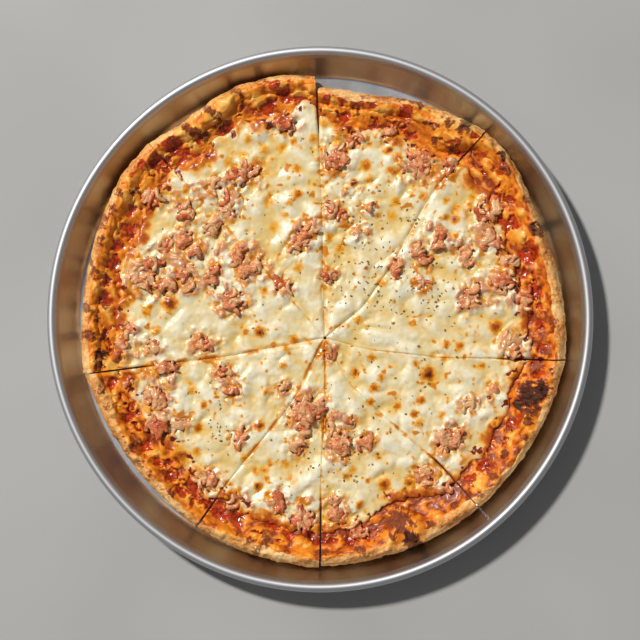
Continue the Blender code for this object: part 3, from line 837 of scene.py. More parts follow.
def toastAt(x, y, toEdge):
    patches = smoothStep(-0.45, 0.35, layeredNoise(x, y, 0.85, 0.030, 2, 0.6))
    ragged = toEdge + 0.0040 * layeredNoise(x, y, 0.35, 0.0085, 2, 0.6)
    return smoothStep(0.0140, 0.0020, ragged) * (0.24 + 0.66 * patches)


def pinkAt(x, y):
    lumps = smoothStep(-0.35, 0.45, layeredNoise(x, y, 0.5, 0.0062, 2, 0.5))
    return np.clip(1.15 * lumpyAt(x, y) * lumps, 0.0, 1.0)


def cheeseFinish():
    look = cheeseLook
    finish = Finish("meltedCheese", {
        "Subsurface Weight": 0.25, "Subsurface Radius": (1.0, 0.7, 0.35), "Subsurface Scale": 0.0014,
        "Coat Weight": 0.20, "Coat Roughness": 0.16, "Specular IOR Level": 0.4,
    })
    middle = finish.noise(0.0085, detail=3.0, rough=0.55)
    small = finish.noise(0.0030, detail=2.0)
    fine = finish.noise(0.0013, detail=3.0, rough=0.6)
    masks = ("high", "brown", "amber", "toast", "pink", "pit")
    high, brown, amber, toast, pink, pit = (finish.mask(name) for name in masks)
    speckle, mottle = 0.5 * (small - 0.5), 0.9 * (middle - 0.5)
    # lump tops whiter as painted highlight, hollows yellower as painted shade and oil
    tall = high + mottle
    oily = (amber + 0.7 * (middle - 0.5) + speckle).between(0.14, 0.90)
    baked = toast + mottle + speckle
    near = brown.between(0.02, 0.3)
    ragged = brown + 0.4 * (fine - 0.5) * near + 0.4 * (small - 0.5) * near
    base = finish.glazed(look["butterAndShade"], (
        (tall, 0.04, 0.44, 1, look["cream"]),
        (tall, 0.44, 0.86, 1, look["milkHighlight"]),
        (pink + speckle, 0.22, 0.75, 0.8, look["pink"]),
    ))
    base = finish.mixed(oily * 0.85, base, look["oil"])
    base = finish.mixed((oily - 0.66).limited() * 2.2, base, look["amber"])
    finish.set("Base Color", finish.glazed(base, (
        (baked, 0.16, 0.50, 0.85, look["gold"]),
        (baked, 0.42, 0.70, 0.85, look["amber"]),
        (baked, 0.68, 0.95, 0.85, look["rust"]),
        (ragged, 0.00, 0.26, 0.90, look["oil"]),
        (ragged, 0.24, 0.56, 0.95, look["amber"]),
        (ragged, 0.56, 0.84, 0.90, look["brown"]),
        (ragged, 0.78, 1.0, 0.85, look["burnt"]),
        (pit + speckle, 0.28, 0.60, 1, look["pit"]),
    )))
    finish.set("Roughness", look["roughness"] + 0.20 * (middle - 0.5) + 0.10 * (fine - 0.5) - 0.08 * amber)
    finish.set("Normal", finish.bump(0.7 * small + 0.3 * fine, 0.00014, 0.4))
    return finish


# Baked topping: crust, cheese and sauce that have run together round the rim
# Marks: degrees round the pizza, pixels from the pan's middle, radius in pixels, strength

charMarks = (
    (22.5, 236, 7, 1.0), (30, 239, 3.5, 0.9), (42, 243, 4, 1.0), (39, 236, 4, 0.4), (53.5, 243, 5, 1.0),
    (53, 236, 4, 0.8), (57, 235, 3.5, 0.7), (59, 222, 3, 0.7), (61, 222, 3, 0.7), (53, 216, 3.5, 0.7),
    (57, 213, 3, 0.6), (65, 238, 3.5, 1.0), (67, 238, 3.5, 0.95), (69.5, 237, 3.5, 0.9), (78, 224, 3, 0.8),
    (104, 246, 3.5, 0.7), (110.5, 246, 4, 0.9), (117, 229, 4, 0.8), (118, 236, 5, 0.8), (119, 241, 4, 0.7),
    (122.5, 218, 4, 0.8), (124, 227, 5, 0.8), (125, 234, 4, 0.8), (145, 225, 4, 0.6), (148, 239, 4, 0.8),
    (152, 235, 4, 0.8), (155, 238, 4, 0.8), (157, 240, 4, 0.8), (160, 234, 4, 0.8), (166, 235, 4, 0.8),
    (168, 230, 4, 0.8), (177, 234, 4, 0.9), (180, 222, 4, 0.8), (184, 233, 6, 0.9), (189, 222, 4.5, 1.0),
    (185, 222, 3.5, 0.8), (192, 228, 4, 0.8), (198, 232, 4.5, 0.8), (202, 228, 4, 0.8), (211, 231, 3.5, 0.8),
    (214, 231, 4, 0.9), (217, 231, 3.5, 0.8), (214, 222, 3.5, 0.8), (219, 230, 3.5, 0.8),
    (222.5, 230, 4, 0.8), (226, 230, 3.5, 0.8), (229, 230, 3.5, 0.8), (254, 240, 4, 0.9),
    (252.5, 231, 3.5, 0.8), (257, 227, 4.5, 0.9), (255.5, 221, 3, 0.8), (280, 235, 4, 0.9),
    (293, 233, 4, 1.0), (292, 238, 6, 1.0), (293, 242, 3.5, 1.0), (291, 214, 10, 0.95),
    (298, 233, 3.5, 0.8), (288, 228, 3.5, 0.8),
    (337, 216, 6, 1.0), (340, 222, 9, 1.0), (342, 230, 8, 1.0), (338, 232, 5, 0.9), (336, 224, 4, 0.8),
    (342, 214, 4, 0.8), (301, 238, 3, 0.7), (306, 231, 4, 0.7), (312, 237, 3.5, 0.7), (318, 234, 3, 0.7),
    (324, 229, 3.5, 0.7), (330, 237, 3.5, 0.7), (334, 231, 4, 0.8), (347, 236, 3, 0.7), (352, 228, 3.5, 0.7),
)
pocketMarks = (
    (18, 219, 8, 0.9), (8, 217, 5, 0.8), (32, 225, 5, 0.8), (40, 237, 5, 0.7), (45, 233, 5, 0.6),
    (353, 222, 4, 0.8), (358, 221, 4, 0.8), (50, 240, 4, 0.8), (50, 218, 4, 0.8), (67, 225, 6, 0.9),
    (76, 221, 4, 0.8), (80, 221, 4, 0.8), (84, 221, 4, 0.8), (88, 220, 4, 0.8), (99, 228, 6, 0.9),
    (101, 238, 6, 0.8), (104, 218, 5, 0.9), (130, 227, 8, 0.9), (129, 237, 5, 0.7), (115, 212, 4, 0.8),
    (136, 228, 7, 0.9), (139, 235, 5, 0.7), (142, 240, 4, 0.5), (146, 241, 3, 0.5), (150, 217, 5, 0.8),
    (155, 217, 5, 0.8), (160, 217, 5, 0.8), (165, 217, 5, 0.8), (170, 217, 5, 0.8), (175, 217, 5, 0.7),
    (197, 218, 4, 0.9), (207, 218, 4, 0.9), (216, 218, 4, 0.8), (221, 218, 4, 0.8), (226, 218, 4, 0.8),
    (231, 222, 4, 0.8), (235, 224, 4, 0.8), (242, 217, 6, 0.9), (247, 218, 6, 0.9), (262, 219, 4, 0.8),
    (267, 219, 4, 0.8), (273, 222, 4, 0.9), (278, 222, 5, 0.9), (282, 222, 4, 0.8), (313, 220, 5, 0.9),
    (318, 220, 5, 0.8), (346, 226, 4, 0.8),
)
dryStretches = ((300, 20, 0.75),)  # degrees, half width in degrees, how much less sauce shows
toppingLook = {
    # the ramp runs with the relief: the crease stop is painted shade in the creases, the gold and cream stops
    # painted highlight on the ridge tops
    "stops": ((0.12, "crease"), (0.27, "rust"), (0.44, "orange"), (0.70, "gold"), (1.00, "cream")),
    # also used for the brown ring round the char
    "crease": tone(146, 60, 14),
    "rust": tone(206, 102, 20),
    "orange": tone(232, 130, 24),
    "gold": tone(246, 152, 40),
    "cream": tone(251, 184, 84),
    "deep": tone(104, 16, 4),
    "red": tone(198, 58, 16),
    "char": tone(88, 34, 13),
    "ash": tone(164, 84, 40),
    "black": tone(40, 15, 8),
}


def ringMarks(marks, grow=1.0):
    found = []
    for degrees, reach, radius, strength in marks:
        angle = math.radians(degrees)
        pixelX = photo["middleX"] + reach * math.cos(angle)
        pixelY = photo["middleY"] - reach * math.sin(angle)
        found.append((pixelX, pixelY, radius * grow, strength))
    return found


def rimNoise(x, y, size, layers=2):
    # noise drawn out along the rim
    reach = np.hypot(x, y) + 1e-6
    return layeredNoise(0.16 * x / reach, 0.16 * y / reach, 1.7 * reach, size, layers, 0.6)


def bakedRelief(x, y):
    warp = 0.0050 * layeredNoise(x, y, 0.45, 0.013, 2, 0.6)
    big = creased(rimNoise(x + warp, y - warp, 0.0200), 0.008, 0.26)
    return big + 0.45 * creased(rimNoise(x - warp, y + warp, 0.0100), 0.008, 0.26)


def charAt(x, y, inset):
    # 0.6 where it is baked brown, up to 1 where it is burnt black
    warped = swayed(x, y, 0.0030, 0.0075, (0.4, 0.8), fade=0.65)
    cones = dabs(*warped, ringMarks(charMarks, 1.45), 0.0)
    rough = layeredNoise(x, y, 0.15, 0.0040, 3, 0.7)
    chips = smoothStep(0.16, 0.48, cones + 0.60 * rough * smoothStep(0.02, 0.20, cones))
    specks = smoothStep(0.58, 0.80, layeredNoise(x, y, 0.7, 0.0085, 3, 0.6))
    onTop = smoothStep(0.0030, 0.0060, inset) * smoothStep(0.0240, 0.0160, inset)
    blackest = [mark for mark in charMarks if mark[3] > 0.95]
    strong = dabs(*warped, ringMarks(blackest, 1.4), 0.4)
    return np.maximum(chips, 0.9 * specks * onTop) * (0.6 + 0.4 * strong)


def pocketsAt(x, y, inset):
    # where the sauce shows
    warped = swayed(x, y, 0.0036, 0.0085, (0.25, 0.9))
    marked = dabs(*warped, ringMarks(pocketMarks, 1.75), 0.2)
    low = smoothStep(0.0120, 0.0190, inset) * smoothStep(0.0330, 0.0240, inset)
    streaks = smoothStep(0.02, 0.34, rimNoise(*warped, 0.0130, 3)) * low
    return np.maximum(marked, (0.85 - swellsAt(np.arctan2(y, x), dryStretches)) * streaks)


def bakedColours(finish):
    # the topping's colour, with painted light and shade along its relief, and where it is wet or charred
    look = toppingLook
    broad = finish.noise(0.018, detail=2.0)
    middle = finish.noise(0.0055, detail=3.0, rough=0.6)
    small = finish.noise(0.0024, detail=3.0, rough=0.6)
    fine = finish.noise(0.0010, detail=2.0, rough=0.65)
    tall, pocket, char = (finish.mask(name) for name in ("tall", "pocket", "char"))
    # painted light and shade along the relief, with noise mixed in
    baked = tall + 0.7 * (broad - 0.5) + 0.6 * (middle - 0.5) + 0.35 * (small - 0.5)
    base = finish.ramp(baked, [(stop, look[name]) for stop, name in look["stops"]])
    wet = (pocket + 0.5 * (small - 0.5) + 0.6 * (middle - 0.5)).between(0.38, 0.60)
    sauce = finish.mixed((0.5 * small + 0.5 * middle).between(0.38, 0.58), look["deep"], look["red"])
    base = finish.mixed(wet * 0.94, base, sauce)
    near = char.between(0.02, 0.25)
    scorched = char + (small - 0.5) * near + 0.60 * (fine - 0.5) * near
    charred = scorched.between(0.30, 0.60)
    burnt = finish.glazed(look["char"], (
        (0.6 * fine + 0.4 * small, 0.44, 0.60, 1, look["ash"]),
        (scorched, 0.66, 0.90, 0.9, look["black"]),
    ))
    base = finish.glazed(base, [(scorched, 0.05, 0.35, 0.80, look["crease"])])
    return finish.mixed(charred * 0.92, base, burnt), wet, charred, small, fine


def setBaked(piece, x, y, inset):
    angle = np.arctan2(y, x)
    # painted light: lighter on the side that faces the lamp and on the tops of the rim's domes
    paintedLight = 0.14 * np.cos(angle - math.radians(134)) + 110.0 * swellsAt(angle, rimBubbles, 3)
    # darker towards the cheese's edge
    darker = 0.16 * smoothStep(0.0150, 0.0230, inset)
    # the topping's colour follows its relief: lighter on the ridge tops as painted highlight, darker in the
    # creases as painted shade
    setMask(piece, "tall", 0.44 + 1.10 * bakedRelief(x, y) + paintedLight - darker)
    setMask(piece, "pocket", pocketsAt(x, y, inset))
    setMask(piece, "char", charAt(x, y, inset))


# Sauce

sauceSize = {
    "underside": 0.0096,
    "top": 0.0108,
    "shownFrom": 0.0380,  # inset where its visible band starts
    "under": 0.0052,  # how far it runs in under the crust
    "baked": 0.0013,
    "climb": 0.0056,
    "relief": 0.0024,
    "tip": 0.004,
    "farEdge": 0.170,
    "hiddenRows": 6,
    "spacing": 0.0007,
    "columnSpacing": 0.0008,
}


def sauceTop(x, y, inset):
    size = sauceSize
    shown = smoothStep(0.035, 0.028, inset)
    pocket = pocketsAt(x, y, inset)
    chunks, number = cellsAt(x + 0.0008 * noiseAt(x, y, 0.8, 0.004), y, 0.0042, 12)
    lumps = (1.0 - smoothStep(0.1, 0.7, chunks)) * (0.2 + number)
    climb = smoothStep(0.0285, 0.0125, inset)
    wet = 0.0008 * lumps + 0.0006 * layeredNoise(x, y, 0.2, 0.006, 2) + 0.4 * size["climb"] * climb
    baked = size["baked"] + size["climb"] * climb + size["relief"] * bakedRelief(x, y)
    return size["top"] + shown * np.maximum(blend(baked, wet, pocket), -0.0003)


def makeSauce(number, finish):
    shape, size = shapes[number], sauceSize
    hidden, shown = size["hiddenRows"], round((size["shownFrom"] - 0.0125) / size["spacing"])

    def placeAt(across, along):
        row = along * (hidden + shown)
        start = shape.reachTo(across, lambda angle: np.maximum(size["shownFrom"], rimWidth(angle) + 0.004))
        end = shape.reachTo(across, lambda angle: rimWidth(angle) - size["under"])
        share = np.clip((row - hidden) / shown, 0.0, 1.0)
        reach = np.where(row < hidden, blend(size["tip"], start, row / hidden), blend(start, end, share))
        x, y = shape.at(across, reach)
        return x, y, sauceTop(x, y, shape.inset(x, y))

    columns = round(shape.span() * size["farEdge"] / size["columnSpacing"])
    bm = layerMesh(columns, hidden + shown, placeAt, size["underside"])
    piece = makePiece(f"sauce_spread_{number}", bm, finish, [f"sauce_{number}"])
    x, y = pointsOf(piece).T[:2]
    setBaked(piece, x, y, shape.inset(x, y))


def sauceFinish():
    finish = Finish("tomatoSauce", {
        "Subsurface Weight": 0.12, "Subsurface Radius": (1.0, 0.35, 0.15), "Subsurface Scale": 0.001,
        "Coat Roughness": 0.10, "Specular IOR Level": 0.35,
    })
    base, wet, charred, small, fine = bakedColours(finish)
    finish.set("Base Color", base)
    finish.set("Roughness", 0.46 - 0.22 * wet + 0.28 * charred + 0.15 * (fine - 0.5))
    finish.set("Coat Weight", (0.08 + 0.35 * wet - 0.4 * charred).limited())
    finish.set("Normal", finish.bump(0.7 * small + 0.3 * fine, 0.0006, 0.6))
    return finish


# Crust

crustSize = {
    "underside": 0.0018,
    "baseTop": 0.0093,
    "crest": 0.0222,
    "tallest": 0.0257,
    "belly": 0.0115,
    "side": 0.0058,
    "sideRadius": 0.1850,
    "footRadius": 0.1812,
    "footInset": 0.0034,
    "rim": 0.0165,
    "relief": 0.0032,
    "pockets": 0.0008,
    "crumbs": 0.0024,
    "swell": 0.0007,
    "grain": 0.0008,
    "pores": 0.00014,
    "tip": 0.0035,
    "hiddenRows": 6,
    "spacing": 0.00075,
    # cuts that are almost shut, and by how much
    "closer": {4: 0.0006, 1: 0.0002, 5: 0.0002, 2: 0.0002, 8: 0.0004},
}
rimBubbles = (
    # degrees, half width in degrees, how far in it reaches, how high it rises
    (55.0, 7.0, 0.0150, 0.0020), (118.0, 6.0, 0.0050, 0.0010), (148.0, 5.0, 0.0020, 0.0008),
    (186.0, 5.0, 0.0030, 0.0010), (224.0, 6.0, 0.0025, 0.0008), (292.0, 6.0, 0.0180, 0.0020),
    (340.0, 6.5, 0.0165, 0.0020), (22.0, 5.0, 0.0010, 0.0006),
)
rimRows = (0, 4, 14, 23, 29, 36, 43, 50, 56, 60)  # rows of faces up to each point of the rim's section


def rimWidth(angle):
    wavy = 0.0014 * noiseAt(*onCircle(angle, 0.2), 0.3, 0.022)
    return crustSize["rim"] + swellsAt(angle, rimBubbles, 2) + wavy


def rimSection(angle, radius):
    # the rim from its toe under the sauce, over the crest and down to its foot: insets and heights
    size = crustSize
    width = rimWidth(angle)
    wavy = 0.0010 * noiseAt(*onCircle(angle, 0.2), 0.7, 0.018)
    crest = size["crest"] + swellsAt(angle, rimBubbles, 3) + wavy
    foot = np.maximum(size["footInset"], radius - size["footRadius"])
    side = np.maximum(0.0010, radius - size["sideRadius"])
    top = np.maximum(0.43 * width, foot + 0.0020)
    zero = np.zeros_like(angle)
    return (
        (width + 0.0015, zero + size["baseTop"]),
        (width, zero + size["baseTop"] + 0.0006),
        (blend(top, width, 0.68), blend(size["baseTop"], crest, 0.50)),
        (blend(top, width, 0.33), blend(size["baseTop"], crest, 0.88)),
        (top, crest),
        (foot, crest - 0.0014),
        (0.35 * foot, crest - 0.0052),
        (zero, zero + size["belly"]),
        (side, zero + size["side"]),
        (foot, zero + size["underside"]),
    )


def throughPoints(place, points):
    # smooth curve through a row of arrays, place counting the points from 0
    points = np.stack(points)
    slopes = np.gradient(points, axis=0)
    index = np.clip(place.astype(int), 0, len(points) - 2)
    t = place - index
    here, beyond = (index, np.arange(len(place))), (index + 1, np.arange(len(place)))
    return cubic(points[here], points[beyond], slopes[here], slopes[beyond], t)


# Where the dough shows
paleMarks = ((45, 249, 6, 0.9), (60, 240, 6, 0.8), (64, 240, 5, 0.8), (108, 239, 4, 0.6), (320, 225, 4, 0.6))
bareBands = (
    # degrees, half width in degrees, how much wider the bare side is there
    (82, 8, 0.0030), (2, 16, 0.0050), (20, 8, 0.0030), (340, 8, 0.0020), (165, 12, 0.0015),
    (200, 9, 0.0070), (223, 9, 0.0042), (255, 14, 0.0052), (280, 9, 0.0050), (306, 11, 0.0062),
)
crustLook = {
    "dough": ((0.38, tone(176, 96, 38)), (0.48, tone(228, 158, 82)), (0.60, tone(248, 202, 136))),
    "roughness": 0.46,
}


def bareAt(x, y, z, inset):
    # 1 where no topping covers the dough: down the side, and in bands and spots near the outline
    ragged = 0.0022 * layeredNoise(x, y, 0.55, 0.012, 3, 0.6)
    edge = 0.0042 + swellsAt(np.arctan2(y, x), bareBands) + ragged
    bare = smoothStep(0.0010, -0.0008, inset - edge)
    low = smoothStep(0.0165, 0.0130, z) * (inset < 0.006)
    warp = 0.0020 * layeredNoise(x, y, 0.35, 0.006, 2, 0.6)
    pale = dabs(x + warp, y - warp, ringMarks(paleMarks), 0.2)
    return np.maximum(np.maximum(bare, low), pale)


def crustSwell(x, y, z, inset):
    # how far the crust's surface stands out from its plain section
    size = crustSize
    onTop = smoothStep(0.0020, 0.0065, inset)
    swell = size["swell"] * layeredNoise(x, y, z, 0.014, 2, 0.6)
    dough = size["grain"] * layeredNoise(x, y, z, 0.0065, 3, 0.6)
    baked = size["relief"] * bakedRelief(x, y) - size["pockets"] * pocketsAt(x, y, inset)
    crumbly = 0.0004 + size["crumbs"] * layeredNoise(x, y, z, 0.0036, 2, 0.65)
    pores = size["pores"] * noiseAt(x, y, z, 0.0015)
    return swell + blend(dough, baked, onTop) + onTop * charAt(x, y, inset) * crumbly + pores


def withStep(place, points):
    # the curve's value at a place, and which way it is going there
    near = 0.02
    step = throughPoints(place + near, points) - throughPoints(place - near, points)
    return throughPoints(place, points), step


def makeCrust(number, finish):
    shape, size = shapes[number], crustSize
    hidden = size["hiddenRows"]
    rows = hidden + rimRows[-1]
    closer = [size["closer"].get(cut, 0.0) for cut in shape.cuts]

    def placeAt(across, along):
        shut = np.where(across < 0.5, *closer)
        row = along * rows
        x, y = shape.at(across, shape.reachTo(across, lambda angle: 0.0))
        angle = np.arctan2(y, x)
        section = rimSection(angle, shape.rimRadius(angle))
        place = np.interp(row - hidden, rimRows, np.arange(len(rimRows)))
        (inset, stepIn), (height, stepUp) = (withStep(place, points) for points in zip(*section))
        length = np.hypot(stepIn, stepUp) + 1e-9
        x, y = shape.at(across, shape.reachTo(across, lambda angle: inset))
        shown = smoothStep(0.2, 1.5, place) * smoothStep(9.0, 7.4, place)
        out = shown * crustSwell(x, y, height, inset)
        inset = np.maximum(inset + out * stepUp / length, -0.0004)
        height = height - out * stepIn / length
        reach = shape.reachTo(across, lambda angle: inset)
        reach = np.where(row < hidden, blend(size["tip"], reach, row / hidden), reach)
        x, y = shape.at(across, reach, shut * smoothStep(0.10, 0.15, reach))
        height = np.clip(height, size["underside"], size["tallest"])
        return x, y, np.where(row <= hidden, size["baseTop"], height)

    ends = placeAt(np.array([0.0, 1.0]), np.array([1.0, 1.0]))
    feet = [Vector(foot) for foot in zip(*ends[:2])]
    columns = round(shape.span() * size["sideRadius"] / size["spacing"])
    bm = layerMesh(columns, rows, placeAt, size["underside"], feet)
    piece = makePiece(f"crust_baked_{number}", bm, finish, [f"crust_{number}"])
    x, y, z = pointsOf(piece).T
    inset = shape.inset(x, y)
    setBaked(piece, x, y, inset)
    setMask(piece, "bare", bareAt(x, y, z, inset))


def crustFinish():
    finish = Finish("bakedCrust", {
        "Subsurface Weight": 0.10, "Subsurface Radius": (1.0, 0.5, 0.25), "Subsurface Scale": 0.0010,
        "Coat Roughness": 0.15, "Specular IOR Level": 0.35,
    })
    topping, wet, charred, small, fine = bakedColours(finish)
    flour = finish.noise(0.0022, detail=4.0, rough=0.7)
    dough = finish.ramp(0.55 * finish.noise(0.020) + 0.45 * flour, crustLook["dough"])
    plain = (finish.mask("bare") + 0.5 * (small - 0.5)).between(0.35, 0.65)
    finish.set("Base Color", finish.mixed(plain * (1 - 0.8 * charred), topping, dough))
    rough = crustLook["roughness"] + 0.20 * plain + 0.28 * charred
    finish.set("Roughness", rough - 0.20 * wet + 0.12 * (fine - 0.5))
    finish.set("Coat Weight", (0.08 + 0.35 * wet - 0.2 * plain - 0.4 * charred).limited())
    finish.set("Normal", finish.bump(0.40 * small + 0.25 * fine + 0.35 * flour, 0.0006, 0.6))
    return finish


# Ham

hamSize = {
    "chunkArea": 80e-6,
    "shredArea": 32e-6,
    "length": (0.0075, 0.0150),
    "width": (0.0028, 0.0044),
    "thick": (0.0026, 0.0038),
    "curl": (0.8, 3.6),  # how far round its bend goes, in radians
    "longest": 0.0150,
    "bigHeap": 90e-6,  # from this area on its chunks get finer faces
}
hamLook = {
    "flesh": tone(208, 102, 54),
    "pale": tone(242, 162, 106),
    "red": tone(160, 44, 18),
    # painted shade on the undersides and in the folds
    "dark": tone(66, 12, 4),
    "cheese": tone(238, 208, 150),
    "oil": tone(200, 90, 20),
}
hamRandom = np.random.default_rng(23)


def turned(a, b, angle):
    c, s = math.cos(angle), math.sin(angle)
    return a * c - b * s, a * s + b * c


def addMorsel(bm, x, y, z, length, width, thick, turn, curl, fineness):
    # one torn piece: a sphere drawn out, ruffled, bent and turned; gives back how high its points lie in it
    # and how deep in its folds, which the finish darkens as painted shade
    random = hamRandom
    made = bmesh.ops.create_icosphere(bm, subdivisions=fineness, radius=1.0)["verts"]
    px, py, pz = np.array([vert.co for vert in made]).T
    full = np.maximum(1.0 - px * px, 0.03) ** -0.20
    lx, ly, lz = 0.5 * length * px, 0.5 * width * py * full, 0.5 * thick * pz * full
    seed = random.uniform(0.0, 3.0)
    folds = creased(noiseAt(lx + seed, ly, lz, 0.0044), 0.008, 0.27)
    coarse, fine = (noiseAt(lx, ly + seed, lz, size) for size in (0.0023, 0.0012))
    grow = 1.0 + 0.45 * noiseAt(lx + seed, ly, lz, 0.0062) + (0.65 - 0.30 * curl) * folds
    grow += (0.28 - 0.14 * curl) * coarse + 0.07 * fine
    lx, ly, lz = lx * (0.5 + 0.5 * grow), ly * grow, lz * (0.50 + 0.50 * grow)
    sway = math.tau * lx / length
    ly += 0.22 * width * np.sin(sway * random.uniform(0.5, 1.1) + random.uniform(0, math.tau))
    lz += 0.24 * thick * np.sin(sway * random.uniform(0.6, 1.4) + random.uniform(0, math.tau))
    bow = length / (curl * random.uniform(*hamSize["curl"]) * random.choice((-1.0, 1.0)))
    lx, ly = (bow - ly) * np.sin(lx / bow), bow - (bow - ly) * np.cos(lx / bow)
    lx, lz = turned(lx, lz, random.uniform(-0.22, 0.22))
    wx, wy = turned(lx, ly, turn)
    moveTo(made, wx + x, wy + y, lz + z)
    return np.clip(folds * 1.5 + lz / thick + 0.1, -0.5, 0.5)


def addHeap(bm, heap, masks):
    # a few broad chunks with shreds on and round them
    random = hamRandom
    area = 0.25 * math.pi * heap["length"] * heap["width"]
    chunks, shreds = (max(1, round(area / hamSize[kind])) for kind in ("chunkArea", "shredArea"))
    for step in range(chunks + shreds):
        chunk = step < chunks
        number, count = (step, chunks) if chunk else (step - chunks, shreds)
        out = math.sqrt((number + (0.15 if chunk else 0.6)) / (count + (0.6 if chunk else 0.0)))
        angle = number * 2.39996 + random.uniform(-0.5, 0.5) + (0.0 if chunk else 1.0)
        lengthwise = 0.5 * heap["length"] * (0.55 if chunk else 0.85) * out * math.cos(angle)
        sideways = 0.5 * heap["width"] * (0.50 if chunk else 0.82) * out * math.sin(angle)
        dx, dy = turned(lengthwise, sideways, heap["turn"])
        x, y = heap["x"] + dx, heap["y"] + dy
        length, width, thick = (random.uniform(*hamSize[side]) for side in ("length", "width", "thick"))
        turn = random.uniform(0, math.tau)
        if chunk:
            share = math.sqrt(chunks)
            length, width = 1.15 * heap["length"] / share ** 1.2, 1.1 * heap["width"] / share ** 0.8
            thick, turn = thick * 1.25, heap["turn"] + random.uniform(-0.3, 0.3)
        length = min(length, hamSize["longest"])
        ground = cheeseTop(np.array([x]), np.array([y]))[0]
        sunk = 0.9 * heap["cover"] - 0.25
        raised = (0.04 - 0.2 * sunk) * thick + 0.0008 * (1.0 - out)
        if chunk:
            raised = (-0.02 - 0.34 * sunk) * thick
        curl = 0.3 if chunk else 1.0
        fineness = 5 if chunk and area > hamSize["bigHeap"] else 4 if heap["name"] or chunk else 3
        level = addMorsel(bm, x, y, ground + raised, length, width, thick, turn, curl, fineness)
        covered = np.clip(heap["cover"] + random.uniform(-0.3, 0.3), 0.0, 1.0)
        shade = random.uniform(0, 1)
        masks.append((0.5 + level, np.full_like(level, covered), np.full_like(level, shade)))


def makeHam(name, members, finish):
    bm = bmesh.new()
    masks = []
    for heap in members:
        addHeap(bm, heap, masks)
    replaced = [heap["name"] for heap in members if heap["name"]]
    piece = makePiece(name, bm, finish, replaced)
    for mask, parts in zip(("level", "covered", "shade"), zip(*masks)):
        setMask(piece, mask, np.concatenate(parts))


def hamFinish():
    look = hamLook
    finish = Finish("cookedHam", {
        "Subsurface Weight": 0.15, "Subsurface Radius": (1.0, 0.4, 0.25), "Subsurface Scale": 0.0010,
        "Coat Weight": 0.4, "Coat Roughness": 0.12, "Specular IOR Level": 0.35,
    })
    grain = finish.noise(0.0011, detail=3.0, rough=0.6)
    small = finish.noise(0.0024, detail=2.0)
    patches = finish.noise(0.0055, detail=2.0)
    level, covered, shade = (finish.mask(name) for name in ("level", "covered", "shade"))
    base = finish.glazed(look["flesh"], (
        (0.5 * patches + 0.5 * shade, 0.30, 0.70, 1, look["pale"]),
        (0.4 * grain + 0.6 * small, 0.46, 0.60, 0.6, look["red"]),
    ))
    # painted shade: darker low down on each piece and in its folds
    base = finish.mixed(1 - (level + 0.5 * (small - 0.5)).between(0.28, 0.66), base, look["dark"])
    cheesy = covered + 1.1 * (patches - 0.5) + 0.5 * (level - 0.5) + 0.3 * (small - 0.5)
    finish.set("Base Color", finish.glazed(base, (
        (patches + 0.4 * (small - 0.5), 0.58, 0.70, 0.5, look["oil"]),
        (cheesy, 0.48, 0.85, 0.50, look["cheese"]),
    )))
    finish.set("Roughness", 0.34 + 0.2 * (grain - 0.5))
    finish.set("Normal", finish.bump(0.6 * grain + 0.4 * small, 0.0009, 0.9))
    return finish


# Herbs

herbClouds = (
    # pixelX, pixelY, spread across, spread up, how many
    (370, 262, 24, 46, 110), (428, 292, 24, 26, 64), (342, 460, 32, 22, 62), (220, 437, 11, 9, 20),
    (411, 221, 5, 3, 12), (300, 300, 105, 95, 90), (345, 150, 22, 20, 16), (400, 385, 40, 22, 26),
    (190, 400, 34, 22, 22), (270, 210, 45, 40, 26),
)
herbLook = {
    "leaf": tone(150, 122, 44),
    "dry": tone(118, 78, 30),
    "size": (0.0005, 0.0015),
    "narrowed": (0.4, 0.85),
    "lean": (-0.5, 0.5),
    "thick": 0.00016,
    "above": 0.00012,
    "fromEdge": 0.003,  # none lies nearer to the cheese's edge
}


def sliceUnder(x, y):
    angle = math.atan2(y - hub[1], x - hub[0])
    reach = np.array([math.hypot(x - hub[0], y - hub[1])])
    for shape in shapes.values():
        if shape.cutDirection(0, reach)[0] < turnedTo(angle, shape.middle) < shape.cutDirection(1, reach)[0]:
            return shape
    return None


def makeHerbs(finish):
    look, random = herbLook, np.random.default_rng(57)
    bm = bmesh.new()
    for pixelX, pixelY, spreadX, spreadY, count in herbClouds:
        for _ in range(count):
            x, y = placeOf(random.normal(pixelX, spreadX), random.normal(pixelY, spreadY))
            long, turn = random.uniform(*look["size"]), random.uniform(0, math.tau)
            lean = random.uniform(*look["lean"])
            wide = long * random.uniform(*look["narrowed"])
            shape = sliceUnder(x, y)
            here = np.array([x]), np.array([y])
            edge = cheeseEdge(np.arctan2(here[1], here[0]))[0]
            if shape is None or shape.inset(*here)[0] < edge + look["fromEdge"]:
                continue
            made = bmesh.ops.create_icosphere(bm, subdivisions=1, radius=1.0)["verts"]
            place = Matrix.Translation((x, y, cheeseTop(*here)[0] + look["above"]))
            place = place @ Matrix.Rotation(turn, 4, "Z") @ Matrix.Rotation(lean, 4, "X")
            place = place @ Matrix.Diagonal((long, wide, look["thick"], 1.0))
            bmesh.ops.transform(bm, matrix=place, verts=made)
    makePiece("herb_flakes", bm, finish)


def herbFinish():
    finish = Finish("driedHerbs", {})
    drier = finish.noise(0.004).between(0.42, 0.60)
    finish.set("Base Color", finish.mixed(drier, herbLook["leaf"], herbLook["dry"]))
    finish.set("Roughness", 0.5 + 0.3 * finish.noise(0.001))
    return finish


# All pieces

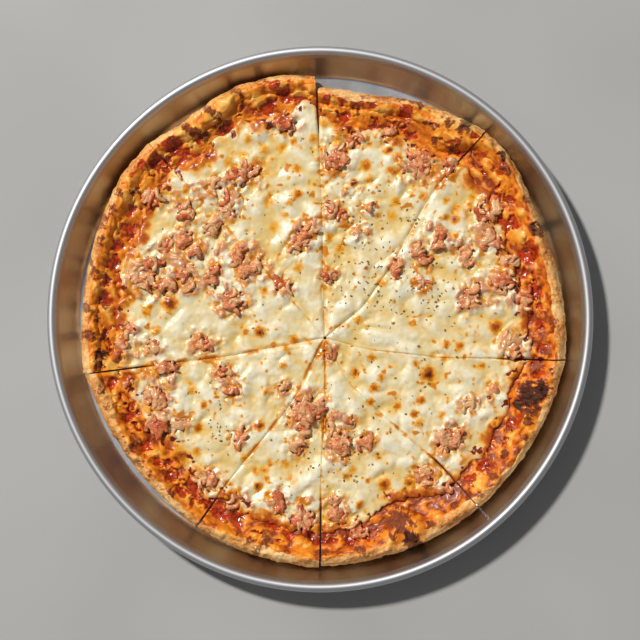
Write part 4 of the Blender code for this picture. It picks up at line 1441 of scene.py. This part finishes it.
makePan()
print("pan made")
bakedCrust, tomatoSauce, meltedCheese, cookedHam = crustFinish(), sauceFinish(), cheeseFinish(), hamFinish()
for number in sliceNumbers:
    makeCrust(number, bakedCrust)
    makeSauce(number, tomatoSauce)
    makeCheese(number, meltedCheese)
    print(f"slice {number} made")
for heap in heaps:
    makeHam(heap["name"].replace("ham", "ham_shreds"), [heap], cookedHam)
makeHam("ham_crumbs", crumbs, cookedHam)
print("ham made")
makeHerbs(herbFinish())
print("herbs made")


# Floor, light and camera

studio = {
    "floor": (tone(177, 177, 175), tone(168, 167, 165)),
    "floorSize": 3.0,
    "skyColour": (0.96, 0.98, 1.0, 1.0),
    "keyColour": (1.0, 0.985, 0.955),
    "keyAzimuth": 134.0,
    "keyHeight": 48.0,
    "keyDistance": 8.0,
    "keySize": 0.75,
    "keyPower": 690.0,
    "skyFade": (0.70, 0.95, 0.24, 0.06),  # heights of its direction, then strengths there
    "lens": 104.0,
    "camera": (-0.0002, -0.0005, 1.3985),
}


def makeFloor():
    bm = bmesh.new()
    bmesh.ops.create_grid(bm, x_segments=1, y_segments=1, size=studio["floorSize"])
    mesh = bpy.data.meshes.new("floor")
    bm.to_mesh(mesh)
    bm.free()
    finish = Finish("paleFloor", {})
    finish.set("Base Color", finish.mixed(finish.noise(0.25).between(0.3, 0.7), *studio["floor"]))
    finish.set("Roughness", 0.55 + 0.05 * finish.noise(0.02))
    mesh.materials.append(finish.material)
    floor = bpy.data.objects.new("floor", mesh)
    bpy.context.scene.collection.objects.link(floor)


def makeSky():
    # an even sky, darker straight overhead
    world = bpy.data.worlds.new("softSky")
    world.use_nodes = True
    tree = world.node_tree
    background = tree.nodes["Background"]
    background.inputs["Color"].default_value = studio["skyColour"]
    place = tree.nodes.new("ShaderNodeTexCoord")
    parts = tree.nodes.new("ShaderNodeSeparateXYZ")
    share = tree.nodes.new("ShaderNodeMapRange")
    for name, value in zip(("From Min", "From Max", "To Min", "To Max"), studio["skyFade"]):
        share.inputs[name].default_value = value
    tree.links.new(place.outputs["Generated"], parts.inputs["Vector"])
    tree.links.new(parts.outputs["Z"], share.inputs["Value"])
    tree.links.new(share.outputs["Result"], background.inputs["Strength"])
    return world


def makeLight():
    azimuth, height = math.radians(studio["keyAzimuth"]), math.radians(studio["keyHeight"])
    x, y = onCircle(azimuth, math.cos(height))
    toward = Vector((x, y, math.sin(height)))
    light = bpy.data.lights.new("keyLight", "AREA")
    light.shape = "DISK"
    light.size = studio["keySize"]
    light.energy = studio["keyPower"]
    light.color = studio["keyColour"]
    lamp = bpy.data.objects.new("keyLight", light)
    lamp.location = studio["keyDistance"] * toward
    lamp.rotation_mode = "QUATERNION"
    lamp.rotation_quaternion = toward.to_track_quat("Z", "Y")
    bpy.context.scene.collection.objects.link(lamp)
    bpy.context.scene.world = makeSky()


def makeCamera():
    camera = bpy.data.cameras.new("camera")
    camera.lens = studio["lens"]
    camera.sensor_width = 36.0
    camera.clip_start, camera.clip_end = 0.05, 20.0
    holder = bpy.data.objects.new("camera", camera)
    holder.location = studio["camera"]
    bpy.context.scene.collection.objects.link(holder)
    bpy.context.scene.camera = holder


makeFloor()
makeLight()
makeCamera()
bpy.context.scene.view_settings.view_transform = "Standard"
print("floor, light and camera made")
